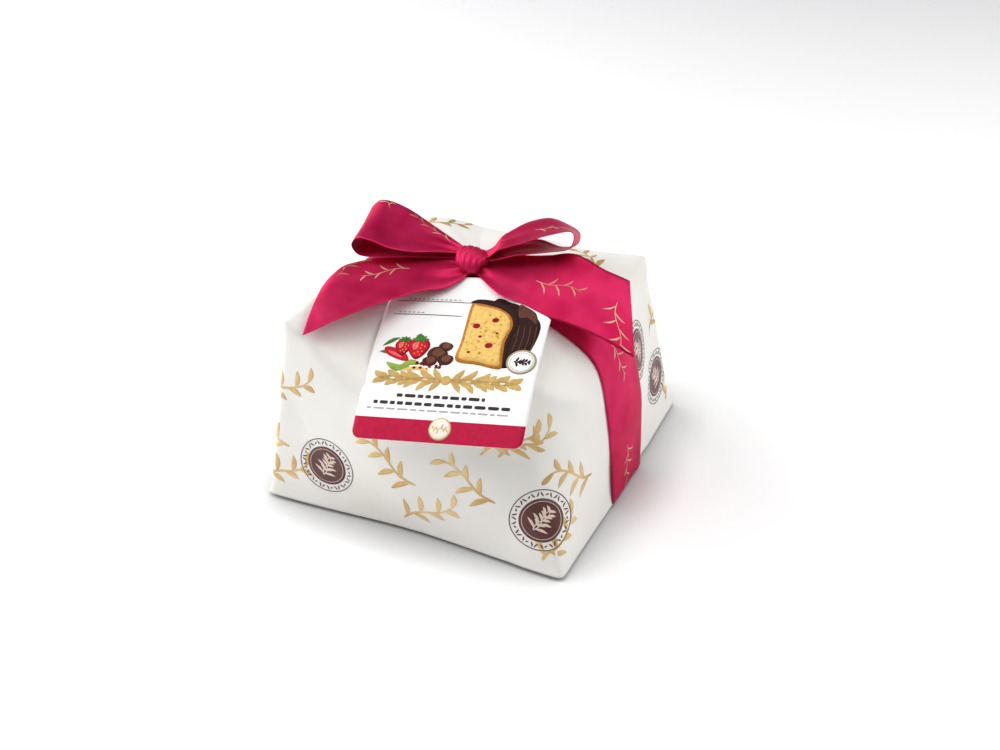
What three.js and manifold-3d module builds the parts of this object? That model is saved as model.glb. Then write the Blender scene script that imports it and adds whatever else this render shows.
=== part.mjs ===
// A tall panettone in gift paper, tied with a satin ribbon and a card tag.
// Millimetres, +Z up. The pack's front is towards -Y, and the ribbon runs over it from left to right.
// The loaf stands on a square board; the paper folds up round it into a square pack that leans in
// towards the top. Two opposite corners are sharp folds with raised ears, the other two are round.
import * as THREE from 'three';
import Module from 'manifold-3d';
import { mergeVertices } from 'three/addons/utils/BufferGeometryUtils.js';

const wasm = await Module();
wasm.setup();

// ---- Driving dimensions ----
const GAP = 0.3;               // left between pieces that touch
const BASE_HALF = 110;         // half of the pack's square foot
const CROWN = 148;             // height of the paper where the ribbon is tied
const LEAN = 18.5;             // how far the walls lean in by LEAN_HEIGHT
const LEAN_MORE = 3.5;         // the far right corner leans in this much more, the near left this much less
const LEAN_HEIGHT = 135;
const SQUARE_POWER = 60;       // outline power of a sharp corner
const ROUND_POWER = 3.9;       // outline power of a round corner
const ROUND_HEIGHT = 85;       // the round corners are fully round from here up
const END_BULGE = 13;          // the ends swell where the flaps are folded in
const END_BULGE_SIDE = 12;     // and most this far from the middle of the end
const SIDE_BULGE = 6;          // the long sides swell round the loaf
const SIDE_HOLLOW = 5;         // and draw in at the foot
const FOOT_BULGE = 2;
const EAR_DIRECTIONS = -135;   // the near left corner and the one across from it stand up as ears
const EAR_REACH = [48, 22];    // how far each ear reaches before and after its corner, in degrees
const DENT = 17;               // the roof sinks by this over the front left edge, under the tag
const DENT_DIRECTION = -123;
const DENT_WIDTH = 33;
const WALL = 1.0;              // paper wall of the solid
const FLOOR = 1.9;             // folded layers of paper under the board
const RIBBON_WIDTH = 50;
const RIBBON_THICK = 0.6;
const LANE_DEPTH = 1.2;        // the folded layers part by this much where the ribbon passes under
const BOARD_SIDE = 204;
const BOARD_THICK = 1.8;
const LOAF_RADIUS = 82.5;
const LOAF_WALL_TOP = 90;      // where the straight side ends and the dome starts
const LOAF_TOP = 124;
const CASE_WALL = 0.8;
const CASE_TOP = 86;
const BAG_WALL = 0.6;
const NECK_RADIUS = 7;
const NECK_FOOT = 129.5;
const NECK_TOP = 139;
const TAG_WIDTH = 117;
const TAG_SIDE = 92;           // straight part of the tag's sides
const TAG_HEIGHT = 114;
const TAG_TOP_HALF = 14;       // half width of the tag's top edge, under the bow
const TAG_THICK = 0.7;
const TAG_FOOT = [26.1, -120.3, 93.2];   // middle of the tag's bottom edge
const TAG_LEAN = 59.7;         // how far the card leans back from upright, in degrees
const TAG_HEADING = -11.3;     // how far it faces to the left, in degrees
const TAG_TURN = 18.6;         // how far it is turned in its own plane, in degrees
const TAG_BEND = 18;           // how far it bends over the pack's front shoulder, in degrees

// Height of the paper's shoulder against the direction from the middle, in degrees.
// The two sharp corners, -135 and 45, carry the ears.
const FRONT_SHOULDER = [[-135, 138], [-122, 119], [-108, 105], [-90, 102], [-68, 107],
  [-45, 119], [-22, 113], [0, 119], [22, 130], [45, 133]];
const BACK_SHOULDER = [[45, 133], [68, 131], [90, 130], [112, 129], [135, 137], [158, 124],
  [180, 124], [202, 136], [213, 138], [225, 138]];

// Ribbon sections: front edge and back edge, one pair after another along the ribbon.
const TAIL_RIGHT = [[[11, -9, 151.5], [10, 4, 158]], [[20, -20, 153], [18, 11, 159]],
  [[31, -27, 153], [31, 14, 159.5]], [[46, -30, 151.2], [48, 14, 163]], [[62, -31, 146], [66, 14, 168]],
  [[80, -30, 142], [86, 13, 163]], [[98, -28, 137], [97, 15, 159]], [[121, -22, 124], [103, 15, 157]]];
const TAIL_LEFT = [[[-14, -11, 151], [-16, -2, 153]], [[-16, -23, 149.5], [-26, -4, 153]],
  [[-21, -35, 148], [-42, -4, 152]], [[-32, -48, 146], [-64, -11, 150]], [[-46, -63, 144.5], [-82, -29, 148]],
  [[-60, -82, 142], [-87, -43, 145.5]], [[-77, -101, 136], [-88.5, -53, 143]]];
const LOOP_LEFT = [[[-14, -6, 160.5], [-16, 6, 162]], [[-28, -13, 161.5], [-34, 13, 165.5]],
  [[-40, -18, 162], [-50, 19, 168]], [[-54, -23, 164.5], [-70, 24, 171]], [[-66, -25, 168], [-83, 25, 171]],
  [[-76, -25, 167.5], [-91, 25, 165]], [[-81, -25, 161], [-92, 25, 157]], [[-76, -25, 154.5], [-84, 25, 152]],
  [[-63, -24, 155], [-68, 24, 152]], [[-45, -18, 156.5], [-47, 18, 153]], [[-28, -11, 157], [-30, 11, 155.5]],
  [[-15, -6, 157.5], [-16, 6, 158]]];
const LOOP_RIGHT = [[[11, -5, 163], [9, 8, 164]], [[19, -5, 171], [11, 17, 168]],
  [[31, -2, 177], [16, 29, 169]],
  [[44, 0, 183], [23, 40, 170]], [[57, 0, 189], [36, 43, 174]], [[65.5, 0, 192], [50, 43, 172]],
  [[68.5, 0, 190], [57, 43, 168]], [[67.5, 0, 183], [57, 43, 160]], [[63, 0, 178], [52, 43, 155]],
  [[52, 0, 175], [43, 41, 153]], [[38, -1, 172], [31, 34, 154]], [[26, -3, 168.5], [20, 24, 157]],
  [[13, -4, 161.5], [10, 9, 160]]];
const KNOT_CENTRE = [-2, -2, 157.4];
const KNOT_HALF = [9.5, 9.5, 6.5];

const rad = THREE.MathUtils.degToRad;
const ease = (t) => THREE.MathUtils.smoothstep(t, 0, 1);
const bell = (distance, width) => Math.exp(-((distance / width) ** 2));
const wrapped = (degrees) => THREE.MathUtils.euclideanModulo(degrees + 180, 360) - 180;

// ---- Finishes ----
const finish = (color, roughness, extra = {}) => (
  new THREE.MeshStandardMaterial({ color, roughness, metalness: 0, ...extra }));
const paper = finish('#f1efe6', 0.55);
const satin = finish('#c01f4b', 0.38);
const card = finish('#fbfbf8', 0.45);
const crust = finish('#7a4a22', 0.8);
const mould = finish('#6b4a2c', 0.75);
const film = finish('#e9eef0', 0.15, { transparent: true, opacity: 0.35 });
const wire = finish('#d9b86a', 0.4);
const board = finish('#c9a66b', 0.8);

// ---- Mesh helpers ----

/** A mesh from a list of points and a list of triangles. */
function meshOf(name, points, triangles, material) {
  const geometry = new THREE.BufferGeometry();
  geometry.setAttribute('position', new THREE.Float32BufferAttribute(points.flat(), 3));
  geometry.setIndex(triangles.flat());
  geometry.computeVertexNormals();
  const mesh = new THREE.Mesh(geometry, material);
  mesh.name = name;
  return mesh;
}

/** Two triangles for each cell of a grid of rows by columns; wrap joins the last column to the first. */
function gridCells(rows, columns, wrap, at) {
  const cells = [];
  const last = wrap ? columns : columns - 1;
  for (let i = 0; i < rows - 1; i++) {
    for (let j = 0; j < last; j++) {
      const k = (j + 1) % columns;
      cells.push([at(i, j), at(i, k), at(i + 1, k)], [at(i, j), at(i + 1, k), at(i + 1, j)]);
    }
  }
  return cells;
}

/** A closed thin solid from a grid of points: two faces, half the thickness to each side, and a rim. */
function sheetSolid(name, grid, thickness, material) {
  const rows = grid.length;
  const columns = grid[0].length;
  const normals = gridNormals(grid, false, false);
  const top = grid.map((row, i) => row.map((p, j) => p.clone().addScaledVector(normals[i][j], thickness / 2)));
  const low = grid.map((row, i) => row.map((p, j) => p.clone().addScaledVector(normals[i][j], -thickness / 2)));
  const points = [...top.flat(), ...low.flat()].map((p) => p.toArray());
  const upper = (i, j) => i * columns + j;
  const lower = (i, j) => rows * columns + upper(i, j);
  const triangles = [
    ...gridCells(rows, columns, false, upper),
    ...gridCells(rows, columns, false, lower).map(([a, b, c]) => [a, c, b]),
  ];
  const rim = [];
  for (let j = 0; j < columns - 1; j++) rim.push([0, j]);
  for (let i = 0; i < rows - 1; i++) rim.push([i, columns - 1]);
  for (let j = columns - 1; j > 0; j--) rim.push([rows - 1, j]);
  for (let i = rows - 1; i > 0; i--) rim.push([i, 0]);
  rim.forEach(([i, j], n) => {
    const [k, l] = rim[(n + 1) % rim.length];
    triangles.push([upper(i, j), lower(k, l), upper(k, l)], [upper(i, j), lower(i, j), lower(k, l)]);
  });
  return meshOf(name, points, triangles, material);
}

/** Unit normals of a grid of points, from the differences along its rows and columns. */
function gridNormals(grid, wrapRows, wrapColumns) {
  const rows = grid.length;
  const columns = grid[0].length;
  const step = (i, n, wrap) => (wrap
    ? [(i + n - 1) % n, (i + 1) % n]
    : [Math.max(i - 1, 0), Math.min(i + 1, n - 1)]);
  return grid.map((row, i) => row.map((_, j) => {
    const [a, b] = step(i, rows, wrapRows);
    const [c, d] = step(j, columns, wrapColumns);
    const down = new THREE.Vector3().subVectors(grid[b][j], grid[a][j]);
    const across = new THREE.Vector3().subVectors(grid[i][d], grid[i][c]);
    return across.cross(down).normalize();
  }));
}

/** The mesh's geometry as a solid for joining and cutting. */
function solidOf(mesh) {
  const bare = mesh.geometry.clone();
  bare.deleteAttribute('normal');
  bare.deleteAttribute('uv');
  const merged = mergeVertices(bare, 1e-4);
  return new wasm.Manifold(new wasm.Mesh({
    numProp: 3,
    vertProperties: new Float32Array(merged.attributes.position.array),
    triVerts: new Uint32Array(merged.index.array),
  }));
}

/** A named mesh from a solid. */
function meshFrom(name, solid, material) {
  const { vertProperties, triVerts } = solid.getMesh();
  const geometry = new THREE.BufferGeometry();
  geometry.setAttribute('position', new THREE.Float32BufferAttribute(vertProperties, 3));
  geometry.setIndex(Array.from(triVerts));
  geometry.computeVertexNormals();
  const mesh = new THREE.Mesh(geometry, material);
  mesh.name = name;
  return mesh;
}

/** A turned piece from [radius, height] points that start and end on the axis or close on themselves. */
function turned(name, profile, material) {
  const segments = 40;
  const geometry = new THREE.LatheGeometry(profile.map(([r, z]) => new THREE.Vector2(r, z)), segments);
  geometry.rotateX(Math.PI / 2);
  const mesh = new THREE.Mesh(geometry, material);
  mesh.name = name;
  return mesh;
}

// ---- Wrapper ----

/** Smooth curve through [direction, height] nodes, with free ends so that the ears stay sharp. */
function through(nodes, degrees) {
  const last = nodes.length - 1;
  let i = nodes.findIndex(([d]) => d > degrees) - 1;
  if (i < 0) i = last - 1;
  const slope = (k) => {
    const a = nodes[Math.max(k - 1, 0)];
    const b = nodes[Math.min(k + 1, last)];
    return (b[1] - a[1]) / (b[0] - a[0]);
  };
  const [d0, h0] = nodes[i];
  const [d1, h1] = nodes[i + 1];
  const span = d1 - d0;
  const t = THREE.MathUtils.clamp((degrees - d0) / span, 0, 1);
  return (2 * t ** 3 - 3 * t ** 2 + 1) * h0 + (t ** 3 - 2 * t ** 2 + t) * span * slope(i)
    + (3 * t ** 2 - 2 * t ** 3) * h1 + (t ** 3 - t ** 2) * span * slope(i + 1);
}

/** Height of the shoulder in a direction. */
function shoulderHeight(degrees) {
  const d = THREE.MathUtils.euclideanModulo(degrees + 135, 360) - 135;
  return d < 45 ? through(FRONT_SHOULDER, d) : through(BACK_SHOULDER, d);
}

/** The pack's outline in plan: a square that shrinks with height, two corners growing round,
 *  the ends bulging where the loaf and the folded flaps press, the sides slightly hollow at the foot. */
function outline(degrees, z) {
  const theta = rad(degrees);
  const c = Math.cos(theta);
  const s = Math.sin(theta);
  const lean = LEAN + LEAN_MORE * Math.cos(rad(degrees - 45));
  const half = BASE_HALF - lean * Math.max(z / LEAN_HEIGHT, 0) ** 0.8;
  const roundness = ease(-Math.sin(2 * theta)) * ease(z / ROUND_HEIGHT);
  const power = 1 / THREE.MathUtils.lerp(1 / SQUARE_POWER, 1 / ROUND_POWER, roundness);
  const r = half / (Math.abs(c) ** power + Math.abs(s) ** power) ** (1 / power);
  const [x, y] = [r * c, r * s];
  const fill = ease(z / 60) * (1 - 0.45 * ease((z - 75) / 50));
  const onEnd = Math.abs(x / half) ** 10;
  const onSide = Math.abs(y / half) ** 10;
  const foot = 1 - ease(z / 38);
  const end = onEnd * (END_BULGE * fill * bell(y - END_BULGE_SIDE * Math.sign(c), 46)
    + FOOT_BULGE * foot * bell(y, 60));
  const side = onSide * (SIDE_BULGE * fill - SIDE_HOLLOW * foot) * bell(x, 62);
  return [x + Math.sign(c) * end, y + Math.sign(s) * side];
}

/** The paper's outer surface: rows from the foot, up the walls, over the shoulder to the crown. */
function paperGrid(directions, wallRows, roofRows, softness) {
  const columns = directions.map((degrees) => {
    const top = shoulderHeight(degrees);
    const column = [];
    for (let i = 0; i < wallRows; i++) {
      const z = (top * i) / (wallRows - 1);
      column.push(new THREE.Vector3(...outline(degrees, z), z));
    }
    const [sx, sy] = outline(degrees, top);
    const crownPower = 1.25 + 1.5 * Math.abs(Math.cos(rad(degrees))) ** 6;
    const dent = DENT * bell(wrapped(degrees - DENT_DIRECTION), DENT_WIDTH);
    for (let i = 1; i <= roofRows; i++) {
      const q = 1 - (0.97 * i) / roofRows;
      const z = CROWN - (CROWN - top) * q ** crownPower - dent * Math.sin(Math.PI * q ** 1.25);
      column.push(new THREE.Vector3(sx * q, sy * q, z));
    }
    const past = THREE.MathUtils.euclideanModulo(degrees - EAR_DIRECTIONS + 90, 180) - 90;
    const ear = THREE.MathUtils.clamp(1 - Math.abs(past) / (past < 0 ? EAR_REACH[0] : EAR_REACH[1]), 0, 1);
    return soften(column, THREE.MathUtils.lerp(0.92, 0.02, ear), softness);
  });
  return columns[0].map((_, i) => columns.map((column) => column[i]));
}

/** Rounds a column's shoulder by moving each inner point towards the middle of its neighbours. */
function soften(column, weight, rounds) {
  let line = column;
  for (let n = 0; n < rounds; n++) {
    line = line.map((p, i) => {
      if (i === 0 || i === line.length - 1) return p;
      const middle = new THREE.Vector3().addVectors(line[i - 1], line[i + 1]).multiplyScalar(0.5);
      return p.clone().lerp(middle, weight);
    });
  }
  return line;
}

/** A closed body whose side is a grid of rings, with a flat fan at each end. */
function ringBody(name, grid, material) {
  const rows = grid.length;
  const columns = grid[0].length;
  const points = grid.flat().map((p) => p.toArray());
  const at = (i, j) => i * columns + j;
  const triangles = gridCells(rows, columns, true, at);
  const centre = (row) => row.reduce((sum, p) => sum.add(p), new THREE.Vector3())
    .divideScalar(columns).toArray();
  const low = points.push(centre(grid[0])) - 1;
  const high = points.push(centre(grid[rows - 1])) - 1;
  for (let j = 0; j < columns; j++) {
    const k = (j + 1) % columns;
    triangles.push([low, at(0, k), at(0, j)], [high, at(rows - 1, j), at(rows - 1, k)]);
  }
  return meshOf(name, points, triangles, material);
}

/** The paper: outer body less inner body less the ribbon's lane; the crown is open under the knot. */
function makeWrapper() {
  const directions = paperDirections();
  const outer = paperGrid(directions, 13, 10, 2);
  const normals = gridNormals(outer, false, true);
  const inner = outer.map((row, i) => row.map((p, j) => p.clone().addScaledVector(normals[i][j], -WALL)))
    .filter((_, i) => i > 0);
  const foot = inner[0].map((p) => new THREE.Vector3(p.x, p.y, FLOOR));
  const mouth = inner[inner.length - 1].map((p) => new THREE.Vector3(p.x, p.y, CROWN + 5));
  const outside = ringBody('outside', outer, paper);
  const inside = ringBody('inside', [foot, ...inner, mouth], paper);
  const lane = new THREE.Mesh(new THREE.BoxGeometry(4 * BASE_HALF, RIBBON_WIDTH + 2, 2 * LANE_DEPTH));
  const solid = solidOf(outside).subtract(solidOf(inside)).subtract(solidOf(lane));
  return { mesh: meshFrom('wrapper', solid, paper), outside };
}

/** Directions of the paper's columns: close together at the sharp corners, wider between. */
function paperDirections() {
  const quarter = [0, 1.5, 5, 11, 18, 25, 32, 39, 45, 51, 58, 65, 72, 79, 85, 88.5];
  return [-135, -45, 45, 135].flatMap((corner) => quarter.map((d) => corner + d));
}

// ---- Ribbon ----

/** Points between the front and back edges of the sections, on a smooth curve through them. */
function stripGrid(sections, steps, across) {
  const edges = [0, 1].map((side) => new THREE.CatmullRomCurve3(
    sections.map((pair) => new THREE.Vector3(...pair[side])), false, 'catmullrom', 0.5));
  return Array.from({ length: steps + 1 }, (_, i) => {
    const [front, back] = edges.map((edge) => edge.getPoint(i / steps));
    return Array.from({ length: across + 1 }, (_, j) => front.clone().lerp(back, j / across));
  });
}

/** The band round the pack: out to the paper in each direction, and flat in its lane underneath. */
function makeBand(outside) {
  const hub = 60;                // height of the point that the directions start from
  const rise = 0.45;             // height of the band's middle in the lane
  const clear = 2.4;             // left between the band and the paper, along each direction
  const across = 8;
  const caster = new THREE.Raycaster();
  outside.material = new THREE.MeshBasicMaterial({ side: THREE.DoubleSide });
  outside.updateMatrixWorld();
  const reach = (y, angle) => {
    const start = new THREE.Vector3(0, y, hub);
    const way = new THREE.Vector3(Math.cos(angle), 0, Math.sin(angle));
    caster.set(start, way);
    const [hit] = caster.intersectObject(outside);
    return start.addScaledVector(way, hit.distance + clear + RIBBON_THICK / 2);
  };
  const lowest = Math.atan2(-hub + 3, BASE_HALF);
  const sweep = Math.PI - 2 * lowest;
  const steps = 48;
  const ring = [];
  for (let i = 0; i <= steps; i++) {
    const angle = lowest + (sweep * i) / steps;
    ring.push(Array.from({ length: across + 1 }, (_, j) => reach((j / across - 0.5) * RIBBON_WIDTH, angle)));
  }
  for (const side of [-1, 1]) {
    const edge = side < 0 ? ring[steps] : ring[0];
    const row = edge.map((p) => new THREE.Vector3(side * (Math.abs(p.x) - 1), p.y, rise));
    if (side < 0) ring.push(row);
    else ring.unshift(row);
  }
  return bandSolid('ribbon_band', ring, RIBBON_THICK, satin);
}

/** A closed thin ring from rows that run right round: outer face, inner face and two edges. */
function bandSolid(name, ring, thickness, material) {
  const rows = ring.length;
  const columns = ring[0].length;
  const normals = gridNormals(ring, true, false);
  const shift = (amount) => ring.map((row, i) => row.map((p, j) => (
    p.clone().addScaledVector(normals[i][j], amount))));
  const points = [...shift(-thickness / 2).flat(), ...shift(thickness / 2).flat()].map((p) => p.toArray());
  const at = (layer, i, j) => (layer * rows + (i % rows)) * columns + j;
  const triangles = [];
  const quad = (a, b, c, d) => triangles.push([a, c, b], [a, d, c]);
  for (let i = 0; i < rows; i++) {
    for (let j = 0; j < columns - 1; j++) {
      quad(at(0, i, j), at(0, i, j + 1), at(0, i + 1, j + 1), at(0, i + 1, j));
      quad(at(1, i, j), at(1, i + 1, j), at(1, i + 1, j + 1), at(1, i, j + 1));
    }
    const end = columns - 1;
    quad(at(0, i, 0), at(0, i + 1, 0), at(1, i + 1, 0), at(1, i, 0));
    quad(at(0, i, end), at(1, i, end), at(1, i + 1, end), at(0, i + 1, end));
  }
  return meshOf(name, points, triangles, material);
}

/** The knot: a flattened ball where the ribbon is wrapped round itself. */
function makeKnot() {
  const geometry = new THREE.SphereGeometry(1, 20, 12);
  geometry.scale(...KNOT_HALF);
  geometry.translate(...KNOT_CENTRE);
  const mesh = new THREE.Mesh(geometry, satin);
  mesh.name = 'ribbon_knot';
  return mesh;
}

// ---- Tag ----

/** The card: leans back on the pack's front, turned a little, and bends over the shoulder. */
function makeTag() {
  const [lean, heading, turn, bend] = [TAG_LEAN, TAG_HEADING, TAG_TURN, TAG_BEND].map(rad);
  const normal = new THREE.Vector3(
    Math.sin(heading) * Math.cos(lean), -Math.cos(heading) * Math.cos(lean), Math.sin(lean));
  const level = new THREE.Vector3(Math.cos(heading), Math.sin(heading), 0);
  const rise = normal.clone().cross(level);
  const along = level.clone().multiplyScalar(Math.cos(turn)).addScaledVector(rise, Math.sin(turn));
  const up = rise.clone().multiplyScalar(Math.cos(turn)).addScaledVector(level, -Math.sin(turn));
  const curve = bend / TAG_HEIGHT;
  const rows = 16;
  const columns = 8;
  const grid = Array.from({ length: rows + 1 }, (_, i) => {
    const s = (TAG_HEIGHT * i) / rows;
    const angle = bend / 2 - curve * s;
    const run = (Math.sin(bend / 2) - Math.sin(angle)) / curve;
    const lift = (Math.cos(angle) - Math.cos(bend / 2)) / curve;
    const taper = Math.max(0, (s - TAG_SIDE) / (TAG_HEIGHT - TAG_SIDE));
    const half = THREE.MathUtils.lerp(TAG_WIDTH / 2, TAG_TOP_HALF, taper);
    return Array.from({ length: columns + 1 }, (_, j) => new THREE.Vector3(...TAG_FOOT)
      .addScaledVector(along, half * (1 - (2 * j) / columns))
      .addScaledVector(up, run).addScaledVector(normal, lift));
  });
  return sheetSolid('hang_tag', grid, TAG_THICK, card);
}

// ---- Loaf and what it stands in ----

/** Points of a dome's quarter outline from the rim to the axis. */
function domePoints(radius, from, to, stop) {
  const steps = 9;
  return Array.from({ length: steps + 1 }, (_, i) => {
    const angle = ((Math.PI / 2) * i) / steps;
    return [radius * Math.cos(angle), from + (to - from) * Math.sin(angle) ** 1.4];
  }).filter(([r]) => r > stop);
}

/** The loaf: straight where the mould held it, domed above. */
function makeLoaf() {
  const foot = loafFoot();
  const dome = domePoints(LOAF_RADIUS, LOAF_WALL_TOP, LOAF_TOP, 1);
  const profile = [[0, foot], [LOAF_RADIUS - 3, foot], [LOAF_RADIUS, foot + 4], ...dome, [0, LOAF_TOP]];
  return turned('panettone_loaf', profile, crust);
}

/** The paper mould: a cup round the loaf. */
function makeCase() {
  const inner = LOAF_RADIUS + GAP;
  const outer = inner + CASE_WALL;
  const floor = loafFoot() - GAP;
  return turned('baking_case', [[0, floor - CASE_WALL], [outer, floor - CASE_WALL], [outer, CASE_TOP],
    [inner, CASE_TOP], [inner, floor], [0, floor]], mould);
}

/** The food bag: up round the case, over the dome, to an open neck. */
function makeBag() {
  const inner = LOAF_RADIUS + 2 * GAP + CASE_WALL;
  const outer = inner + BAG_WALL;
  const floor = loafFoot() - 2 * GAP - CASE_WALL;
  const inDome = domePoints(inner, LOAF_WALL_TOP, LOAF_TOP + 1.5, NECK_RADIUS);
  const outDome = domePoints(outer, LOAF_WALL_TOP, LOAF_TOP + 1.5 + BAG_WALL, NECK_RADIUS + BAG_WALL);
  return turned('inner_bag', [[0, floor - BAG_WALL], [outer, floor - BAG_WALL], ...outDome,
    [NECK_RADIUS + BAG_WALL, NECK_FOOT], [NECK_RADIUS + BAG_WALL, NECK_TOP], [NECK_RADIUS, NECK_TOP],
    [NECK_RADIUS, NECK_FOOT], ...inDome.reverse(), [inner, floor], [0, floor]], film);
}

/** The strip that closes the bag's neck. */
function makeTie() {
  const inner = NECK_RADIUS + BAG_WALL + GAP;
  const outer = inner + 1.2;
  const low = NECK_FOOT + 1.5;
  const high = low + 3.5;
  return turned('bag_tie', [[inner, low], [outer, low], [outer, high], [inner, high], [inner, low]], wire);
}

/** The square card under the loaf. */
function makeBoard() {
  const geometry = new THREE.BoxGeometry(BOARD_SIDE, BOARD_SIDE, BOARD_THICK);
  geometry.translate(0, 0, FLOOR + GAP + BOARD_THICK / 2);
  const mesh = new THREE.Mesh(geometry, board);
  mesh.name = 'cake_board';
  return mesh;
}

/** Height of the loaf's foot above the ground. */
function loafFoot() {
  return FLOOR + BOARD_THICK + BAG_WALL + CASE_WALL + 4 * GAP;
}

// ---- Assembly ----
const { mesh: wrapper, outside } = makeWrapper();
const pack = new THREE.Group();
pack.add(
  makeLoaf(), makeCase(), makeBag(), makeTie(), makeBoard(), wrapper,
  makeBand(outside), makeKnot(),
  sheetSolid('ribbon_loop_left', stripGrid(LOOP_LEFT, 36, 4), RIBBON_THICK, satin),
  sheetSolid('ribbon_loop_right', stripGrid(LOOP_RIGHT, 36, 4), RIBBON_THICK, satin),
  sheetSolid('ribbon_tail_left', stripGrid(TAIL_LEFT, 14, 4), RIBBON_THICK, satin),
  sheetSolid('ribbon_tail_right', stripGrid(TAIL_RIGHT, 14, 4), RIBBON_THICK, satin),
  makeTag(),
);

// The origin is under the middle of the whole object's box.
const box = new THREE.Box3().setFromObject(pack);
pack.position.set(-(box.min.x + box.max.x) / 2, -(box.min.y + box.max.y) / 2, 0);
const model = new THREE.Group();
model.add(pack);

export default model;
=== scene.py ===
"""A tall panettone in gift paper, tied with a satin ribbon and a card tag.

The pack's own frame has its upright axis through the middle of the cake board, its front towards -Y,
and lengths in millimetres. Every shape below is worked out in that frame and moved into the row frame,
in metres, when it becomes a mesh.
"""
import logging
import math
from collections.abc import Callable, Sequence
from dataclasses import dataclass, field
from enum import Enum
from functools import cached_property

import bmesh
import bpy
import numpy as np
from mathutils import Matrix, Vector


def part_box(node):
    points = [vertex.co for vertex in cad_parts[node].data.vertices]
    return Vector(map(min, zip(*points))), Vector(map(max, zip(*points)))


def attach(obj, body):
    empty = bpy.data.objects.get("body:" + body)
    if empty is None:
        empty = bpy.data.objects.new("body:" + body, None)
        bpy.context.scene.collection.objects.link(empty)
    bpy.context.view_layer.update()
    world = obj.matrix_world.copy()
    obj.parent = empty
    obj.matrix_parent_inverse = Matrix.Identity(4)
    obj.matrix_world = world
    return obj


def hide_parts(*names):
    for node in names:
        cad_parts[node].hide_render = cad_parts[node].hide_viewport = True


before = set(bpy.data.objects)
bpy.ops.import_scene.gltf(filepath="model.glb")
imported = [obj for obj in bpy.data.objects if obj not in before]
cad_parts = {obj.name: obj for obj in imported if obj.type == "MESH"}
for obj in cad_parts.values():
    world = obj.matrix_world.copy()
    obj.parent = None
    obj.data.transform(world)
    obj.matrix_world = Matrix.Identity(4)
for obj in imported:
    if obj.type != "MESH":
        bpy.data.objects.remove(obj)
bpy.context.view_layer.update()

Array = np.ndarray
Colour = tuple[float, float, float]
Point = tuple[float, float, float]
Stroke = Sequence[Point]
Section = tuple[Point, Point]
Lift = Callable[[Array, float], Array]
MM = 0.001
LOG = logging.getLogger("panettone")


# ---------------------------------------------------------------- numbers and curves

def ease(x: Array | float) -> Array:
    """Smooth step of x from 0 to 1."""
    x = np.clip(x, 0.0, 1.0)
    return x * x * (3.0 - 2.0 * x)


def bell(x: Array | float, width: float) -> Array:
    """Bell curve of height 1 that falls to 1/e at the given width."""
    return np.exp(-((np.asarray(x) / width) ** 2))


def wrapped(degrees: Array | float) -> Array:
    """The same direction, from -180 to 180 degrees."""
    return (np.asarray(degrees) + 180.0) % 360.0 - 180.0


def unit(v: Array) -> Array:
    """Vectors along the last axis, made one long."""
    return v / np.maximum(np.linalg.norm(v, axis=-1, keepdims=True), 1e-12)


def catmull_rom(a: Array, b: Array, c: Array, d: Array, u: Array) -> Array:
    """Cubic from b to c, as u goes from 0 to 1, with the slopes that a and d give it."""
    return 0.5 * (2 * b + (c - a) * u + (2 * a - 5 * b + 4 * c - d) * u**2 + (3 * b - a - 3 * c + d) * u**3)


def smooth_line(points: Array, count: int) -> Array:
    """Catmull-Rom curve through points of any dimension, with straight run-outs at both ends.

    Args:
        points: Points to pass through, one per row.
        count: How many points to return, evenly spaced in the curve's parameter.

    Returns:
        The points on the curve.
    """
    p = np.asarray(points, float)
    p = np.concatenate([2 * p[:1] - p[1:2], p, 2 * p[-1:] - p[-2:-1]])
    t = np.linspace(0, len(p) - 3 - 1e-9, count)
    i = t.astype(int)
    u = (t - i).reshape((-1,) + (1,) * (p.ndim - 1))
    return catmull_rom(p[i], p[i + 1], p[i + 2], p[i + 3], u)


def through(nodes: Sequence[tuple[float, float]], x: Array) -> Array:
    """Cubic curve through nodes with the slopes of a centred difference.

    Args:
        nodes: Pairs of x and value, x rising.
        x: Where to read the curve.

    Returns:
        The curve's value at each x.
    """
    xs, ys = np.array(nodes, float).T
    slopes = np.gradient(ys, xs)
    i = np.clip(np.searchsorted(xs, x, side="right") - 1, 0, len(xs) - 2)
    span = xs[i + 1] - xs[i]
    t = np.clip((x - xs[i]) / span, 0, 1)
    return (
        (2 * t**3 - 3 * t**2 + 1) * ys[i]
        + (t**3 - 2 * t**2 + t) * span * slopes[i]
        + (3 * t**2 - 2 * t**3) * ys[i + 1]
        + (t**3 - t**2) * span * slopes[i + 1]
    )


def ripple(points: Array, wavelength: float, seed: int, waves: int = 7) -> Array:
    """Smooth random field: the mean of plane waves in random directions, about -1 to 1.

    Args:
        points: Places to read the field at, in mm.
        wavelength: Typical distance between crests, in mm.
        seed: Seed of the random directions and phases.
        waves: How many waves are added up.

    Returns:
        The field's value at each place.
    """
    rng = np.random.default_rng(seed)
    ways = unit(rng.normal(size=(waves, 3))) * 2 * np.pi / wavelength * rng.uniform(0.7, 1.3, (waves, 1))
    phases = rng.uniform(0, 2 * np.pi, waves)
    return np.sin(points @ ways.T + phases).sum(-1) * 1.4 / waves


# ---------------------------------------------------------------- meshes

def grid_normals(points: Array, wrap: bool = False) -> Array:
    """Unit normals of a grid: the difference across the columns crossed with that along the rows.

    Args:
        points: Rows by columns of points.
        wrap: Whether the last column joins the first.

    Returns:
        A normal for each point.
    """
    if wrap:
        across = np.roll(points, -1, 1) - np.roll(points, 1, 1)
    else:
        across = np.gradient(points, axis=1)
    return unit(np.cross(across, np.gradient(points, axis=0)))


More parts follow.
